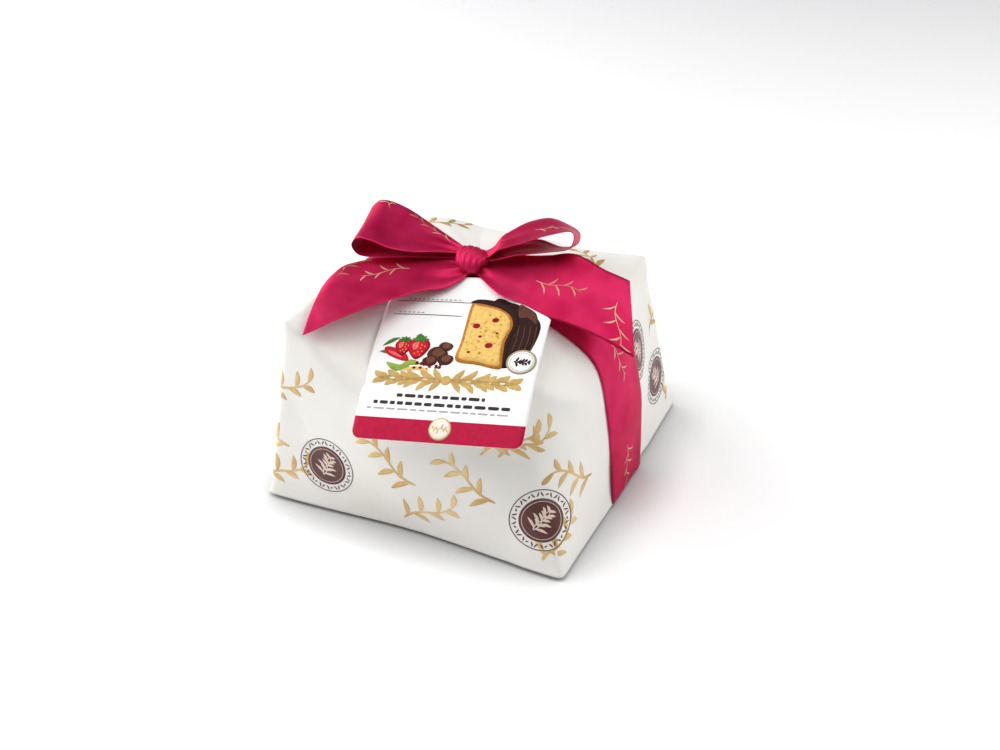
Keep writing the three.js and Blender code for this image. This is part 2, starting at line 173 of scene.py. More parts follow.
def grid_quads(rows: int, columns: int, wrap: bool = False, first: int = 0) -> Array:
    """Quads of a grid stored row by row.

    Args:
        rows: Rows of points.
        columns: Columns of points.
        wrap: Whether the last column joins the first.
        first: Number of the grid's first vertex.

    Returns:
        Four vertex numbers per face.
    """
    i = np.arange(rows - 1)[:, None]
    j = np.arange(columns if wrap else columns - 1)[None]
    k = (j + 1) % columns
    cells = np.stack([i * columns + j, i * columns + k, (i + 1) * columns + k, (i + 1) * columns + j], -1)
    return cells.reshape(-1, 4) + first


@dataclass
class PackFrame:
    """Where the pack's own axis stands in the row frame."""

    middle: Vector = field(default_factory=lambda: sum(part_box("cake_board"), Vector()) / 2)

    def metres(self, points: Array) -> Array:
        """Points in the row frame, in metres, from points in the pack's frame, in mm."""
        return np.asarray(points, float) * MM + np.array([self.middle.x, self.middle.y, 0.0])


PACK = PackFrame()


def make_mesh(name: str, points: Array, quads: Array, finishes: Sequence[bpy.types.Material],
              slots: Array | None = None, uv: Array | None = None, weld: bool = False) -> bpy.types.Object:
    """A smooth-shaded mesh object at the origin.

    Args:
        name: Name of the object.
        points: Vertices in the pack's frame, in mm.
        quads: Four vertex numbers per face.
        finishes: Materials, in slot order.
        slots: Material slot of each face, if there is more than one.
        uv: A texture place per vertex, if the finish reads one.
        weld: Whether vertices in the same place are joined, which also closes poles.

    Returns:
        The new object, linked to the scene.
    """
    mesh = bpy.data.meshes.new(name)
    mesh.from_pydata(PACK.metres(points.reshape(-1, 3)).tolist(), [], quads.tolist())
    for material in finishes:
        mesh.materials.append(material)
    if slots is not None:
        mesh.polygons.foreach_set("material_index", slots.astype(np.int32))
    if uv is not None:
        layer = mesh.uv_layers.new(name="UVMap")
        corner = np.empty(len(mesh.loops), np.int32)
        mesh.loops.foreach_get("vertex_index", corner)
        layer.data.foreach_set("uv", uv.reshape(-1, 2)[corner].ravel())
    if weld:
        work = bmesh.new()
        work.from_mesh(mesh)
        bmesh.ops.remove_doubles(work, verts=work.verts, dist=1e-6)
        work.to_mesh(mesh)
        work.free()
    mesh.polygons.foreach_set("use_smooth", np.ones(len(mesh.polygons), bool))
    mesh.update()
    piece = bpy.data.objects.new(name, mesh)
    bpy.context.scene.collection.objects.link(piece)
    return piece


def thicken(piece: bpy.types.Object, thickness: float, offset: float = -1.0) -> None:
    """Gives an open sheet a wall.

    Args:
        piece: The sheet.
        thickness: The wall's thickness in mm.
        offset: Side that the wall grows to: -1 inwards, 0 both, 1 outwards.
    """
    wall = piece.modifiers.new("wall", "SOLIDIFY")
    wall.thickness = thickness * MM
    wall.offset = offset
    wall.use_even_offset = False
    wall.use_quality_normals = False


def settle(piece: bpy.types.Object, slot: str, *nodes: str) -> bpy.types.Object:
    """Rides the piece on the pack and hides the CAD nodes it stands for.

    Args:
        piece: The piece.
        slot: The record's material slot; not used.
        *nodes: The CAD nodes it replaces.

    Returns:
        The same piece.
    """
    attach(piece, "root")
    if nodes:
        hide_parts(*nodes)
    LOG.info("%s: %d faces", piece.name, len(piece.data.polygons))
    return piece


# ---------------------------------------------------------------- finishes

def srgb(red: int, green: int, blue: int) -> Colour:
    """Linear colour from 8-bit display values."""
    c = np.array([red, green, blue]) / 255.0
    return tuple(np.where(c <= 0.04045, c / 12.92, ((c + 0.055) / 1.055) ** 2.4).tolist())


class Recipe:
    """A material's node tree being written: short ways to add nodes and join them."""

    def __init__(self, name: str) -> None:
        """Starts a material with a Principled shader.

        Args:
            name: Name of the material.
        """
        self.material = bpy.data.materials.new(name)
        self.material.use_nodes = True
        self.tree = self.material.node_tree
        self.shader = self.tree.nodes["Principled BSDF"]

    def node(self, kind: str, inputs: dict[str, object] | None = None, **settings: object) -> bpy.types.Node:
        """A new node.

        Args:
            kind: The node's type, without the ShaderNode prefix.
            inputs: Values or output sockets for its named inputs.
            **settings: The node's own properties.

        Returns:
            The node.
        """
        made = self.tree.nodes.new("ShaderNode" + kind)
        for key, value in settings.items():
            setattr(made, key, value)
        for key, value in (inputs or {}).items():
            socket = made.inputs[key]
            if isinstance(value, bpy.types.NodeSocket):
                self.tree.links.new(value, socket)
            else:
                socket.default_value = value
        return made

    def place(self, scale: Point = (1, 1, 1), source: str = "Object") -> bpy.types.NodeSocket:
        """Object or UV coordinates, scaled."""
        where = self.node("TexCoord").outputs[source]
        return self.node("Mapping", {"Vector": where, "Scale": scale}).outputs["Vector"]

    def noise(self, scale: float, detail: float = 3.0) -> bpy.types.NodeSocket:
        """Noise value from 0 to 1 on Object coordinates."""
        inputs = {"Vector": self.place(), "Scale": scale, "Detail": detail, "Roughness": 0.55}
        return self.node("TexNoise", inputs).outputs["Fac"]

    def blend(self, low: Colour, high: Colour, factor: bpy.types.NodeSocket,
              ends: tuple[float, float] = (0.3, 0.7)) -> bpy.types.NodeSocket:
        """Colour that runs from low to high as the factor passes between the two ends.

        Args:
            low: Colour at and below the first end.
            high: Colour at and above the second end.
            factor: The value that is read.
            ends: The two ends.

        Returns:
            The colour socket.
        """
        ramp = self.node("ValToRGB", {"Fac": factor})
        for stop, position, colour in zip(ramp.color_ramp.elements, ends, (low, high)):
            stop.position = position
            stop.color = (*colour, 1)
        return ramp.outputs["Color"]

    def bump(self, height: bpy.types.NodeSocket, distance: float, strength: float = 1.0,
             under: bpy.types.NodeSocket | None = None) -> bpy.types.NodeSocket:
        """Normal of a relief.

        Args:
            height: The relief, from 0 to 1.
            distance: Its height in mm.
            strength: Share of it that shows.
            under: Normal of a coarser relief that it lies on.

        Returns:
            The normal socket.
        """
        inputs = {"Height": height, "Distance": distance * MM, "Strength": strength}
        if under is not None:
            inputs["Normal"] = under
        return self.node("Bump", inputs).outputs["Normal"]

    def set(self, **values: object) -> bpy.types.Material:
        """Puts values or sockets on the shader and gives the material.

        Args:
            **values: Shader inputs, with underscores for spaces.

        Returns:
            The finished material.
        """
        for key, value in values.items():
            socket = self.shader.inputs[key.replace("_", " ")]
            if isinstance(value, bpy.types.NodeSocket):
                self.tree.links.new(value, socket)
            elif isinstance(value, tuple) and len(value) == 3:
                socket.default_value = (*value, 1)
            else:
                socket.default_value = value
        return self.material


@dataclass(frozen=True)
class PaperFinish:
    """Smooth ivory gift paper: faint fibres and a soft pearly gloss."""

    light: Colour = srgb(247, 245, 240)
    shade: Colour = srgb(241, 238, 231)

    def make(self) -> bpy.types.Material:
        """Writes the material.

        Returns:
            The material.
        """
        r = Recipe("gift_paper")
        colour = r.blend(self.shade, self.light, r.noise(18, 4))
        fibre = r.bump(r.noise(900, 3), 0.03, 0.35)
        crumple = r.bump(r.noise(70, 3), 0.35, 0.35, fibre)
        return r.set(Base_Color=colour, Roughness=0.5, Specular_IOR_Level=0.35, Normal=crumple)


@dataclass(frozen=True)
class FoilFinish:
    """Gold brush ink: paler where the brush ran thin, darker where it pooled."""

    name: str = "gold_print"
    light: Colour = srgb(232, 202, 146)
    deep: Colour = srgb(202, 164, 98)
    metallic: float = 0.3

    def make(self) -> bpy.types.Material:
        """Writes the material.

        Returns:
            The material.
        """
        r = Recipe(self.name)
        colour = r.blend(self.deep, self.light, r.noise(28, 3), (0.36, 0.62))
        rough = r.blend((0.34,) * 3, (0.48,) * 3, r.noise(160, 2))
        return r.set(Base_Color=colour, Metallic=self.metallic, Roughness=rough)


@dataclass(frozen=True)
class InkFinish:
    """A printed colour with a faint mottle."""

    name: str
    colour: Colour
    mottle: float = 0.12
    grain: float = 300.0
    roughness: float = 0.45
    gloss: float = 0.5

    def make(self) -> bpy.types.Material:
        """Writes the material.

        Returns:
            The material.
        """
        r = Recipe(self.name)
        darker = tuple(c * (1 - self.mottle) for c in self.colour)
        lighter = tuple(min(1.0, c * (1 + self.mottle)) for c in self.colour)
        return r.set(Base_Color=r.blend(darker, lighter, r.noise(self.grain, 3)), Roughness=self.roughness,
                     Specular_IOR_Level=self.gloss)


@dataclass(frozen=True)
class SatinFinish:
    """Raspberry satin: painted highlight and shade in soft patches at random places, and close threads across
    the ribbon that stretch the highlight along it.
    """

    light: Colour = srgb(218, 50, 100)
    deep: Colour = srgb(182, 18, 69)
    thread: float = 0.35

    def make(self) -> bpy.types.Material:
        """Writes the material, on a UV map in metres along and across the ribbon.

        Returns:
            The material.
        """
        r = Recipe("ribbon_satin")
        # painted highlight and shade: lighter and deeper patches about 30 mm across stand in for the soft
        # highlights of crumpled satin
        colour = r.blend(self.deep, self.light, r.noise(35, 2), (0.3, 0.75))
        threads = r.place((0, 1 / (self.thread * MM), 0), "UV")
        wave = r.node("TexWave", {"Vector": threads, "Scale": 0.3, "Distortion": 0.2}, bands_direction="Y")
        weave = r.bump(wave.outputs["Fac"], 0.02, 0.25)
        soft = r.bump(r.noise(55, 2), 0.4, 0.3, weave)
        tangent = r.node("Tangent", direction_type="UV_MAP", uv_map="UVMap").outputs["Tangent"]
        return r.set(Base_Color=colour, Metallic=0.5, Roughness=0.43, Anisotropic=0.5, Tangent=tangent,
                     Normal=soft, Specular_IOR_Level=0.2, Specular_Tint=srgb(255, 150, 175))


@dataclass(frozen=True)
class CardFinish:
    """White coated card."""

    def make(self) -> bpy.types.Material:
        """Writes the material.

        Returns:
            The material.
        """
        r = Recipe("tag_card")
        colour = r.blend(srgb(250, 250, 249), srgb(254, 254, 253), r.noise(40, 2))
        return r.set(Base_Color=colour, Roughness=0.32, Normal=r.bump(r.noise(700, 2), 0.02, 0.2),
                     Coat_Weight=0.15, Coat_Roughness=0.2)


@dataclass(frozen=True)
class CrustFinish:
    """Baked crust: dark and golden in random patches, with fine pores."""

    def make(self) -> bpy.types.Material:
        """Writes the material.

        Returns:
            The material.
        """
        r = Recipe("loaf_crust")
        patches = r.noise(22, 5)
        colour = r.blend(srgb(96, 50, 20), srgb(178, 106, 48), patches, (0.35, 0.68))
        pores = r.node("TexVoronoi", {"Vector": r.place(), "Scale": 260}).outputs["Distance"]
        crust = r.bump(pores, 0.7, 0.5, r.bump(patches, 1.5, 0.5))
        return r.set(Base_Color=colour, Roughness=0.72, Normal=crust)


@dataclass(frozen=True)
class MouldFinish:
    """Brown greaseproof baking paper with a fine grain."""

    def make(self) -> bpy.types.Material:
        """Writes the material.

        Returns:
            The material.
        """
        r = Recipe("baking_paper")
        colour = r.blend(srgb(86, 52, 30), srgb(118, 76, 46), r.noise(45, 4))
        return r.set(Base_Color=colour, Roughness=0.68, Normal=r.bump(r.noise(420, 3), 0.08, 0.4))


@dataclass(frozen=True)
class FilmFinish:
    """Clear food film."""

    def make(self) -> bpy.types.Material:
        """Writes the material.

        Returns:
            The material.
        """
        r = Recipe("clear_film")
        return r.set(Base_Color=srgb(238, 242, 244), Roughness=0.12, Alpha=0.3, IOR=1.5,
                     Normal=r.bump(r.noise(60, 4), 0.8, 0.6))


@dataclass(frozen=True)
class BoardFinish:
    """Gold faced cake card with a faint embossed grain."""

    def make(self) -> bpy.types.Material:
        """Writes the material.

        Returns:
            The material.
        """
        r = Recipe("board_card")
        colour = r.blend(srgb(196, 152, 82), srgb(222, 182, 112), r.noise(30, 3))
        dimples = r.node("TexVoronoi", {"Vector": r.place(), "Scale": 450}).outputs["Distance"]
        return r.set(Base_Color=colour, Metallic=0.6, Roughness=0.38, Normal=r.bump(dimples, 0.12, 0.5))


@dataclass(frozen=True)
class FloorFinish:
    """Pale studio floor that glows a little, with a painted contact shadow: its colour and glow are darker
    close to what stands on it.
    """

    reach: float = 42.0
    painted_shadow_contrast: float = 1.6
    glow: float = 0.16

    def make(self) -> bpy.types.Material:
        """Writes the material.

        Returns:
            The material.
        """
        r = Recipe("studio_floor")
        # painted contact shadow: ambient occlusion darkens the floor's colour and dims its glow near whatever
        # stands on it
        near = r.node("AmbientOcclusion", {"Distance": self.reach * MM}, samples=12).outputs["AO"]
        shade = r.node("Math", {0: near, 1: self.painted_shadow_contrast}, operation="POWER").outputs["Value"]
        colour = r.blend((0.30,) * 3, (0.94,) * 3, shade, (0.0, 1.0))
        glow = r.node("Math", {0: shade, 1: self.glow}, operation="MULTIPLY").outputs["Value"]
        return r.set(Base_Color=colour, Roughness=0.9, Specular_IOR_Level=0.1, Emission_Color=(1.0, 1.0, 1.0),
                     Emission_Strength=glow)


# ---------------------------------------------------------------- laying prints on surfaces

@dataclass
class Patch:
    """A surface as a grid of points in mm, which prints are laid on by row and column number."""

    points: Array

    @cached_property
    def normals(self) -> Array:
        """The surface's unit normals."""
        return grid_normals(self.points)

    @staticmethod
    def read(grid: Array, rows: Array, columns: Array) -> Array:
        """Values of a grid between its points, by weights of the four corners of the cell.

        Args:
            grid: Values with rows and columns first.
            rows: Row numbers, with fractions.
            columns: Column numbers, with fractions.

        Returns:
            The value at each place.
        """
        rows = np.clip(rows, 0, grid.shape[0] - 1.001)
        columns = np.clip(columns, 0, grid.shape[1] - 1.001)
        i, j = rows.astype(int), columns.astype(int)
        s, t = rows - i, columns - j
        if grid.ndim == 3:
            s, t = s[..., None], t[..., None]
        low = grid[i, j] * (1 - t) + grid[i, j + 1] * t
        high = grid[i + 1, j] * (1 - t) + grid[i + 1, j + 1] * t
        return low * (1 - s) + high * s

    def lift(self, rows: Array, columns: Array, height: float) -> Array:
        """Points that stand height mm off the surface."""
        return self.read(self.points, rows, columns) + height * unit(self.read(self.normals, rows, columns))


@dataclass
class Chart:
    """Two measures over a patch, such as millimetres along and up, that places are given in."""

    patch: Patch
    along: Array
    up: Array
    coarse: int = 6
    newton_steps: int = 12

    def locate(self, places: Array) -> tuple[Array, Array]:
        """Row and column numbers of places, by Newton steps from the nearest grid point.

        Args:
            places: Along and up in the last axis.

        Returns:
            Row numbers and column numbers.
        """
        flat = places.reshape(-1, 2)
        coarse = self.coarse
        a, b = self.along[::coarse, ::coarse], self.up[::coarse, ::coarse]
        gap = (a.ravel()[None] - flat[:, :1]) ** 2 + (b.ravel()[None] - flat[:, 1:]) ** 2
        i, j = np.unravel_index(gap.argmin(1), a.shape)
        rows, columns = i * float(coarse), j * float(coarse)
        slopes = [np.gradient(measure, axis=k) for measure in (self.along, self.up) for k in (0, 1)]
        longest, last_row, last_column = 8, self.along.shape[0] - 1, self.along.shape[1] - 1
        for _ in range(self.newton_steps):
            ar, ac, ur, uc = (Patch.read(s, rows, columns) for s in slopes)
            da = flat[:, 0] - Patch.read(self.along, rows, columns)
            du = flat[:, 1] - Patch.read(self.up, rows, columns)
            det = ar * uc - ac * ur
            det = np.where(np.abs(det) < 1e-6, 1e-6, det)
            rows = np.clip(rows + np.clip((da * uc - ac * du) / det, -longest, longest), 0, last_row)
            columns = np.clip(columns + np.clip((ar * du - ur * da) / det, -longest, longest), 0, last_column)
        return rows.reshape(places.shape[:-1]), columns.reshape(places.shape[:-1])

    def lift(self, places: Array, height: float) -> Array:
        """Points height mm off the surface at places on the chart."""
        return self.patch.lift(*self.locate(places), height)


class Print:
    """Flat marks, collected into one thin mesh with a material for each ink."""

    def __init__(self, name: str) -> None:
        """Starts with no marks.

        Args:
            name: Name of the piece.
        """
        self.name = name
        self.points: list[Array] = []
        self.quads: list[Array] = []
        self.slots: list[Array] = []
        self.inks: list[bpy.types.Material] = []
        self.count = 0

    def add(self, grid: Array, ink: bpy.types.Material, wrap: bool = False) -> None:
        """Adds a grid of points in one ink.

        Args:
            grid: Rows by columns of points in mm.
            ink: The material.
            wrap: Whether the last column joins the first.
        """
        if ink not in self.inks:
            self.inks.append(ink)
        quads = grid_quads(grid.shape[0], grid.shape[1], wrap, self.count)
        self.points.append(grid.reshape(-1, 3))
        self.quads.append(quads)
        self.slots.append(np.full(len(quads), self.inks.index(ink)))
        self.count += grid.shape[0] * grid.shape[1]

    def stroke(self, lift: Lift, line: Stroke, ink: bpy.types.Material, height: float = 0.15,
               step: float = 1.6) -> None:
        """Adds a brush stroke: a curve through places, as wide as the third number, rounded at its ends.

        Args:
            lift: Puts places on the surface.
            line: Along, up and width in mm, one place after another.
            ink: The material.
            height: Height over the surface in mm.
            step: Length of one cell along the stroke in mm.
        """
        line = np.array(line, float)
        length = np.linalg.norm(np.diff(line[:, :2], axis=0), axis=1).sum()
        count = max(8, int(length / step))
        t = (1 - np.cos(np.linspace(0, np.pi, count))) / 2
        fine = smooth_line(line, 16 * len(line))
        where = np.stack([np.interp(t, np.linspace(0, 1, len(fine)), fine[:, k]) for k in range(3)], 1)
        way = unit(np.gradient(where[:, :2], axis=0))
        side = np.stack([way[:, 1], -way[:, 0]], 1)
        half = where[:, 2] / 2 * np.sqrt(np.clip(1 - np.abs(2 * t - 1) ** 12, 0, 1))
        across = np.linspace(-1, 1, 5)[None, :, None]
        places = where[:, None, :2] - side[:, None] * half[:, None, None] * across
        self.add(lift(places, height)[:, ::-1], ink)

    def blob(self, lift: Lift, outline: Array, ink: bpy.types.Material, height: float = 0.15,
             hole: float = 0.0, rings: int = 5) -> None:
        """Adds a filled shape that its middle sees all of, or a ring of it.

        Args:
            lift: Puts places on the surface.
            outline: The shape's edge, anticlockwise, without a repeated end.
            ink: The material.
            height: Height over the surface in mm.
            hole: Size of the hole as a share of the shape.
            rings: How many rows run from the middle to the edge.
        """
        outline = np.asarray(outline, float)
        middle = outline.mean(0)
        t = np.linspace(max(hole, 0.002), 1, rings)[:, None, None]
        places = middle + (outline - middle)[None] * t
        self.add(lift(places, height)[::-1], ink, wrap=True)

    def finish(self, slot: str, thickness: float = 0.05) -> bpy.types.Object:
        """Makes the mesh, gives it the thickness of ink and settles it.

        Args:
            slot: The record's material slot.
            thickness: Thickness of the ink in mm.

        Returns:
            The piece.
        """
        points, quads = np.concatenate(self.points), np.concatenate(self.quads)
        piece = make_mesh(self.name, points, quads, self.inks, np.concatenate(self.slots))
        thicken(piece, thickness)
        return settle(piece, slot)


def oval(centre: tuple[float, float], radius: float, squash: float = 1.0, count: int = 48) -> Array:
    """Points round an oval, anticlockwise."""
    t = np.linspace(0, 2 * np.pi, count, endpoint=False)
    return np.stack([centre[0] + radius * np.cos(t), centre[1] + radius * squash * np.sin(t)], 1)


def closed_curve(points: Sequence[tuple[float, float]], count: int = 64) -> Array:
    """A smooth closed Catmull-Rom curve.

    Args:
        points: Places to pass through, anticlockwise.
        count: How many points to return.

    Returns:
        The points on the curve.
    """
    p = np.array(points, float)
    around = len(p)
    t = np.linspace(0, around, count, endpoint=False)
    i = t.astype(int)
    u = (t - i)[:, None]
    return catmull_rom(*(p[(i + k) % around] for k in (-1, 0, 1, 2)), u)


# ---------------------------------------------------------------- gift paper

class Side(Enum):
    """The pack's sides, by the direction that each faces, in degrees."""

    FRONT = -90
    RIGHT = 0
    BACK = 90
    LEFT = 180


@dataclass(frozen=True)
class Fold:
    """A crease in the paper: a ridge, or a valley where the height is negative, between two points."""

    start: tuple[float, float, float]
    end: tuple[float, float, float]
    height: float
    width: float

    def relief(self, points: Array) -> Array:
        """How far the paper stands out: a tent over the line that fades towards its ends.

        Args:
            points: Places on the paper in mm.

        Returns:
            The relief in mm at each place.
        """
        a, b = np.array(self.start, float), np.array(self.end, float)
        way = b - a
        t = np.clip(((points - a) @ way) / (way @ way), 0, 1)
        away = np.linalg.norm(points - a - t[..., None] * way, axis=-1)
        tent = np.clip(1 - away / self.width, 0, 1) ** 1.6
        return self.height * tent * (0.35 + 0.65 * np.sin(np.pi * np.clip(t, 0.08, 0.92)))


@dataclass
class GiftPaper:
    """The folded sheet round the pack: foot, four leaning walls, and a roof gathered to the crown."""

    foot_half: float = 110.0
    crown: float = 148.0
    lean: float = 18.5
    lean_more: float = 3.5
    lean_height: float = 135.0
    thickness: float = 0.25
    ears: float = -135.0
    ribbon_lane: float = 27.0
    lane_height: float = 1.1
    edge_lift: float = 3.0
    sharp_power: float = 60.0
    round_power: float = 3.9
    dent_depth: float = 17.0
    dent_heading: float = -123.0
    dent_width: float = 33.0
    smoothing: int = 30
    floor_gap: float = 0.05
    front_shoulder: Sequence[tuple[float, float]] = (
        (-135, 138), (-122, 119), (-108, 105), (-90, 102), (-68, 107), (-45, 119), (-22, 113), (0, 119),
        (22, 130), (45, 133))
    back_shoulder: Sequence[tuple[float, float]] = (
        (45, 133), (68, 131), (90, 130), (112, 129), (135, 137), (158, 124), (180, 124), (202, 136),
        (213, 138), (225, 138))
    folds: Sequence[Fold] = (
        Fold((70, -74, 121), (84, -67, 109), 1.9, 11),
        Fold((84, -67, 109), (97, -44, 98), 1.5, 9),
        Fold((70, -76, 108), (96, -55, 84), -1.6, 13),
        Fold((76, -88, 96), (99, -78, 55), -0.9, 16),
        Fold((60, -96, 92), (40, -104, 50), -0.9, 24),
        Fold((-60, -102, 70), (10, -106, 20), 0.9, 26),
        Fold((-96, -100, 96), (-70, -104, 40), -0.8, 20),
        Fold((-30, 60, 138), (30, 84, 124), 1.2, 14),
        Fold((30, 40, 142), (84, 70, 132), 1.4, 12),
        Fold((60, 95, 110), (20, 108, 40), -1.2, 18),
        Fold((-60, 96, 96), (-92, 100, 40), 1.2, 16),
        Fold((-20, 104, 90), (-50, 108, 30), -1.0, 22),
        Fold((-98, -60, 96), (-104, 20, 40), 1.0, 20),
        Fold((-84, 72, 118), (-100, 60, 84), -1.6, 12),
    )
    wall_rows: int = 62
    roof_rows: int = 46
    foot_rows: int = 14
    quadrant: int = 88

    def directions(self) -> Array:
        """Directions of the columns, closer together towards the four corners.

        Returns:
            Degrees, a quarter turn after another from the front left corner.
        """
        t = np.arange(self.quadrant) / self.quadrant
        step = 90 * (0.8 * (0.5 - 0.5 * np.cos(np.pi * t)) + 0.2 * t)
        return np.concatenate([corner + step for corner in (-135, -45, 45, 135)])

    def shoulder(self, degrees: Array) -> Array:
        """Height of the shoulder in a direction, on a curve through the shoulder nodes."""
        d = (degrees + 135) % 360 - 135
        return np.where(d < 45, through(self.front_shoulder, d), through(self.back_shoulder, d))

    def outline(self, degrees: Array, z: Array) -> tuple[Array, Array]:
        """The pack's outline in plan at a height.

        A superellipse whose power falls from 60, a sharp corner, to 3.9 at the two round corners as the
        height grows, shrinking with height, with the ends and the sides swelling round the loaf.

        Args:
            degrees: Directions.
            z: Heights in mm.

        Returns:
            X and Y in mm.
        """
        theta = np.radians(degrees)
        c, s = np.cos(theta), np.sin(theta)
        lean = self.lean + self.lean_more * np.cos(theta - np.pi / 4)
        half = self.foot_half - lean * np.clip(z / self.lean_height, 0, None) ** 0.8
        roundness = ease(-np.sin(2 * theta)) * ease(z / 85)
        sharp = 1 / self.sharp_power
        power = 1 / (sharp + (1 / self.round_power - sharp) * roundness)
        r = half / (np.abs(c) ** power + np.abs(s) ** power) ** (1 / power)
        x, y = r * c, r * s
        fill = ease(z / 60) * (1 - 0.45 * ease((z - 75) / 50))
        foot = 1 - ease(z / 38)
        end = np.abs(x / half) ** 10 * (13 * fill * bell(y - 12 * np.sign(c), 46) + 2 * foot * bell(y, 60))
        side = np.abs(y / half) ** 10 * (6 * fill - 5 * foot) * bell(x, 62)
        return x + np.sign(c) * end, y + np.sign(s) * side

    def smooth_walls(self, degrees: Array) -> Array:
        """Walls and roof before any fold: rows from the foot to the crown.

        The roof runs from the shoulder to the crown by a power of the distance left, dented under the
        tag, and the shoulder is rounded by moving points towards their neighbours away from the ears.

        Args:
            degrees: Directions of the columns.

        Returns:
            Points, rows by columns, in mm.
        """
        top = self.shoulder(degrees)
        z = np.linspace(0, 1, self.wall_rows)[:, None] * top
        x, y = self.outline(degrees[None], z)
        q = np.linspace(1, 0.03, self.roof_rows + 1)[1:, None]
        power = 1.25 + 1.5 * np.abs(np.cos(np.radians(degrees))) ** 6
        dent = self.dent_depth * bell(wrapped(degrees - self.dent_heading), self.dent_width)
        roof = self.crown - (self.crown - top) * q**power - dent * np.sin(np.pi * q**1.25)
        p = np.stack([np.vstack([x, x[-1] * q]), np.vstack([y, y[-1] * q]), np.vstack([z, roof])], -1)
        past = (degrees - self.ears + 90) % 180 - 90
        ear = np.clip(1 - np.abs(past) / np.where(past < 0, 48, 22), 0, 1)
        weight = (0.92 - 0.9 * ear)[None, :, None]
        for _ in range(self.smoothing):
            p[1:-1] += weight * ((p[2:] + p[:-2]) / 2 - p[1:-1])
        return p

    def relief(self, p: Array, degrees: Array) -> Array:
        """How far folds and creases push the paper out, in mm.

        Args:
            p: The smooth walls.
            degrees: Directions of the columns.

        Returns:
            The relief at each point.
        """
        x, y, z = np.moveaxis(p, -1, 0)
        out = sum(fold.relief(p) for fold in self.folds)
        slack = ease((z - 4) / 25)
        out = out + slack * (0.8 * ripple(p, 95, 3) + 0.35 * ripple(p, 42, 8))
        out = out + 0.30 * slack * (0.5 - np.abs(ripple(p, 34, 21)))
        reach = np.hypot(x, y) / 105
        theta = np.radians(degrees)[None]
        gather = np.abs(np.sin(5.5 * theta + 0.7)) * 0.6 + np.abs(np.sin(8.5 * theta + 2.1)) * 0.4
        roof = ease((z - 112) / 14) * ease((1.0 - reach) / 0.25) * ease(reach / 0.12)
        out = out + roof * 2.0 * (gather - 0.62)
        for sign in (-1, 1):
            edge = sign * y - np.interp(z, [0, 42, 82, 133], [28, 48, 72, 86])
            face = ease((sign * x - 70) / 15) * ease((134 - z) / 8)
            flap = 0.75 * (1 - ease((edge + 0.9) / 1.8)) + 1.0 * bell(edge + 5, 7) - 0.9 * bell(edge - 9, 9)
            out = out + face * flap
        return out

    def foot(self, ring: Array) -> Array:
        """The underside: rings from the middle out to the foot, folded like an envelope, with the lane.

        Args:
            ring: The lowest row of the walls.

        Returns:
            Points, rows by columns, in mm, without the last row.
        """
        share = np.linspace(0, 1, self.foot_rows + 1)[:-1, None] ** 0.6
        x, y = ring[:, 0] * share, ring[:, 1] * share
        flap = 0.35 * (1 - ease((np.abs(y) - np.abs(x) * 0.9 + 2) / 4))
        lane = self.lane_height * (1 - ease((np.abs(y) - self.ribbon_lane) / 1.5))
        z = np.maximum(self.floor_gap + flap, lane) + self.edge_lift * ease((share - 0.88) / 0.12)
        return np.stack([x, y, z], -1)

    @cached_property
    def surface(self) -> tuple[Array, Array, Array]:
        """The outside of the paper.

        Returns:
            The smooth walls, the folded walls, and the directions of the columns.
        """
        degrees = self.directions()
        p = self.smooth_walls(degrees)
        normals = grid_normals(p, wrap=True)
        folded = p + normals * self.relief(p, degrees)[..., None]
        folded[0, :, 2] = self.floor_gap
        folded[..., 2] += self.edge_lift * np.exp(-folded[..., 2] / 7)
        return p, folded, degrees

    def build(self) -> bpy.types.Object:
        """Makes the sheet, closed at the crown, with a thin wall so that it is paper and not a block.

        Returns:
            The piece.
        """
        _, folded, _ = self.surface
        tip = folded[-1:].mean(1, keepdims=True).repeat(folded.shape[1], 1)
        rows = np.concatenate([self.foot(folded[0]), folded, tip])
        quads = grid_quads(rows.shape[0], rows.shape[1], wrap=True)
        piece = make_mesh("gift_paper", rows, quads, [PaperFinish().make()], weld=True)
        thicken(piece, self.thickness)
        settle(piece, "wrapping_paper", "wrapper")
        return piece

    def wall_chart(self, side: Side) -> Chart:
        """Chart of the walls and roof: mm along a side from its middle, and mm up from the foot.

        Args:
            side: The side.

        Returns:
            The chart.
        """
        smooth, folded, degrees = self.surface
        start = int(np.argmin(np.abs(wrapped(degrees - side.value))))
        shift = start - len(degrees) // 2
        smooth, folded = np.roll(smooth, -shift, 1), np.roll(folded, -shift, 1)
        step = np.linalg.norm(np.diff(smooth, axis=1), axis=-1)
        along = np.concatenate([np.zeros((len(smooth), 1)), step.cumsum(1)], 1)
        along -= along[:, len(degrees) // 2, None]
        rise = np.linalg.norm(np.diff(smooth, axis=0), axis=-1)
        up = np.concatenate([np.zeros((1, smooth.shape[1])), rise.cumsum(0)])
        return Chart(Patch(folded), along, up)

    def roof_chart(self) -> Chart:
        """Chart of the roof in plan: mm along X and Y.

        Returns:
            The chart.
        """
        smooth, folded, _ = self.surface
        roof = slice(self.wall_rows - 2, None)
        return Chart(Patch(folded[roof]), smooth[roof, :, 0], smooth[roof, :, 1])


# ---------------------------------------------------------------- print on the paper

def moved(marks: Sequence[Stroke], along: float, up: float, turn: float = 0.0) -> list[Array]:
    """Strokes turned about their chart's zero by so many degrees, then shifted.

    Args:
        marks: The strokes.
        along: Shift along the chart in mm.
        up: Shift up the chart in mm.
        turn: Turn in degrees, anticlockwise.

    Returns:
        New strokes.
    """
    c, s = math.cos(math.radians(turn)), math.sin(math.radians(turn))
    out = []
    for line in marks:
        p = np.array(line, float)
        p[:, :2] = p[:, :2] @ np.array([[c, s], [-s, c]]) + (along, up)
        out.append(p)
    return out


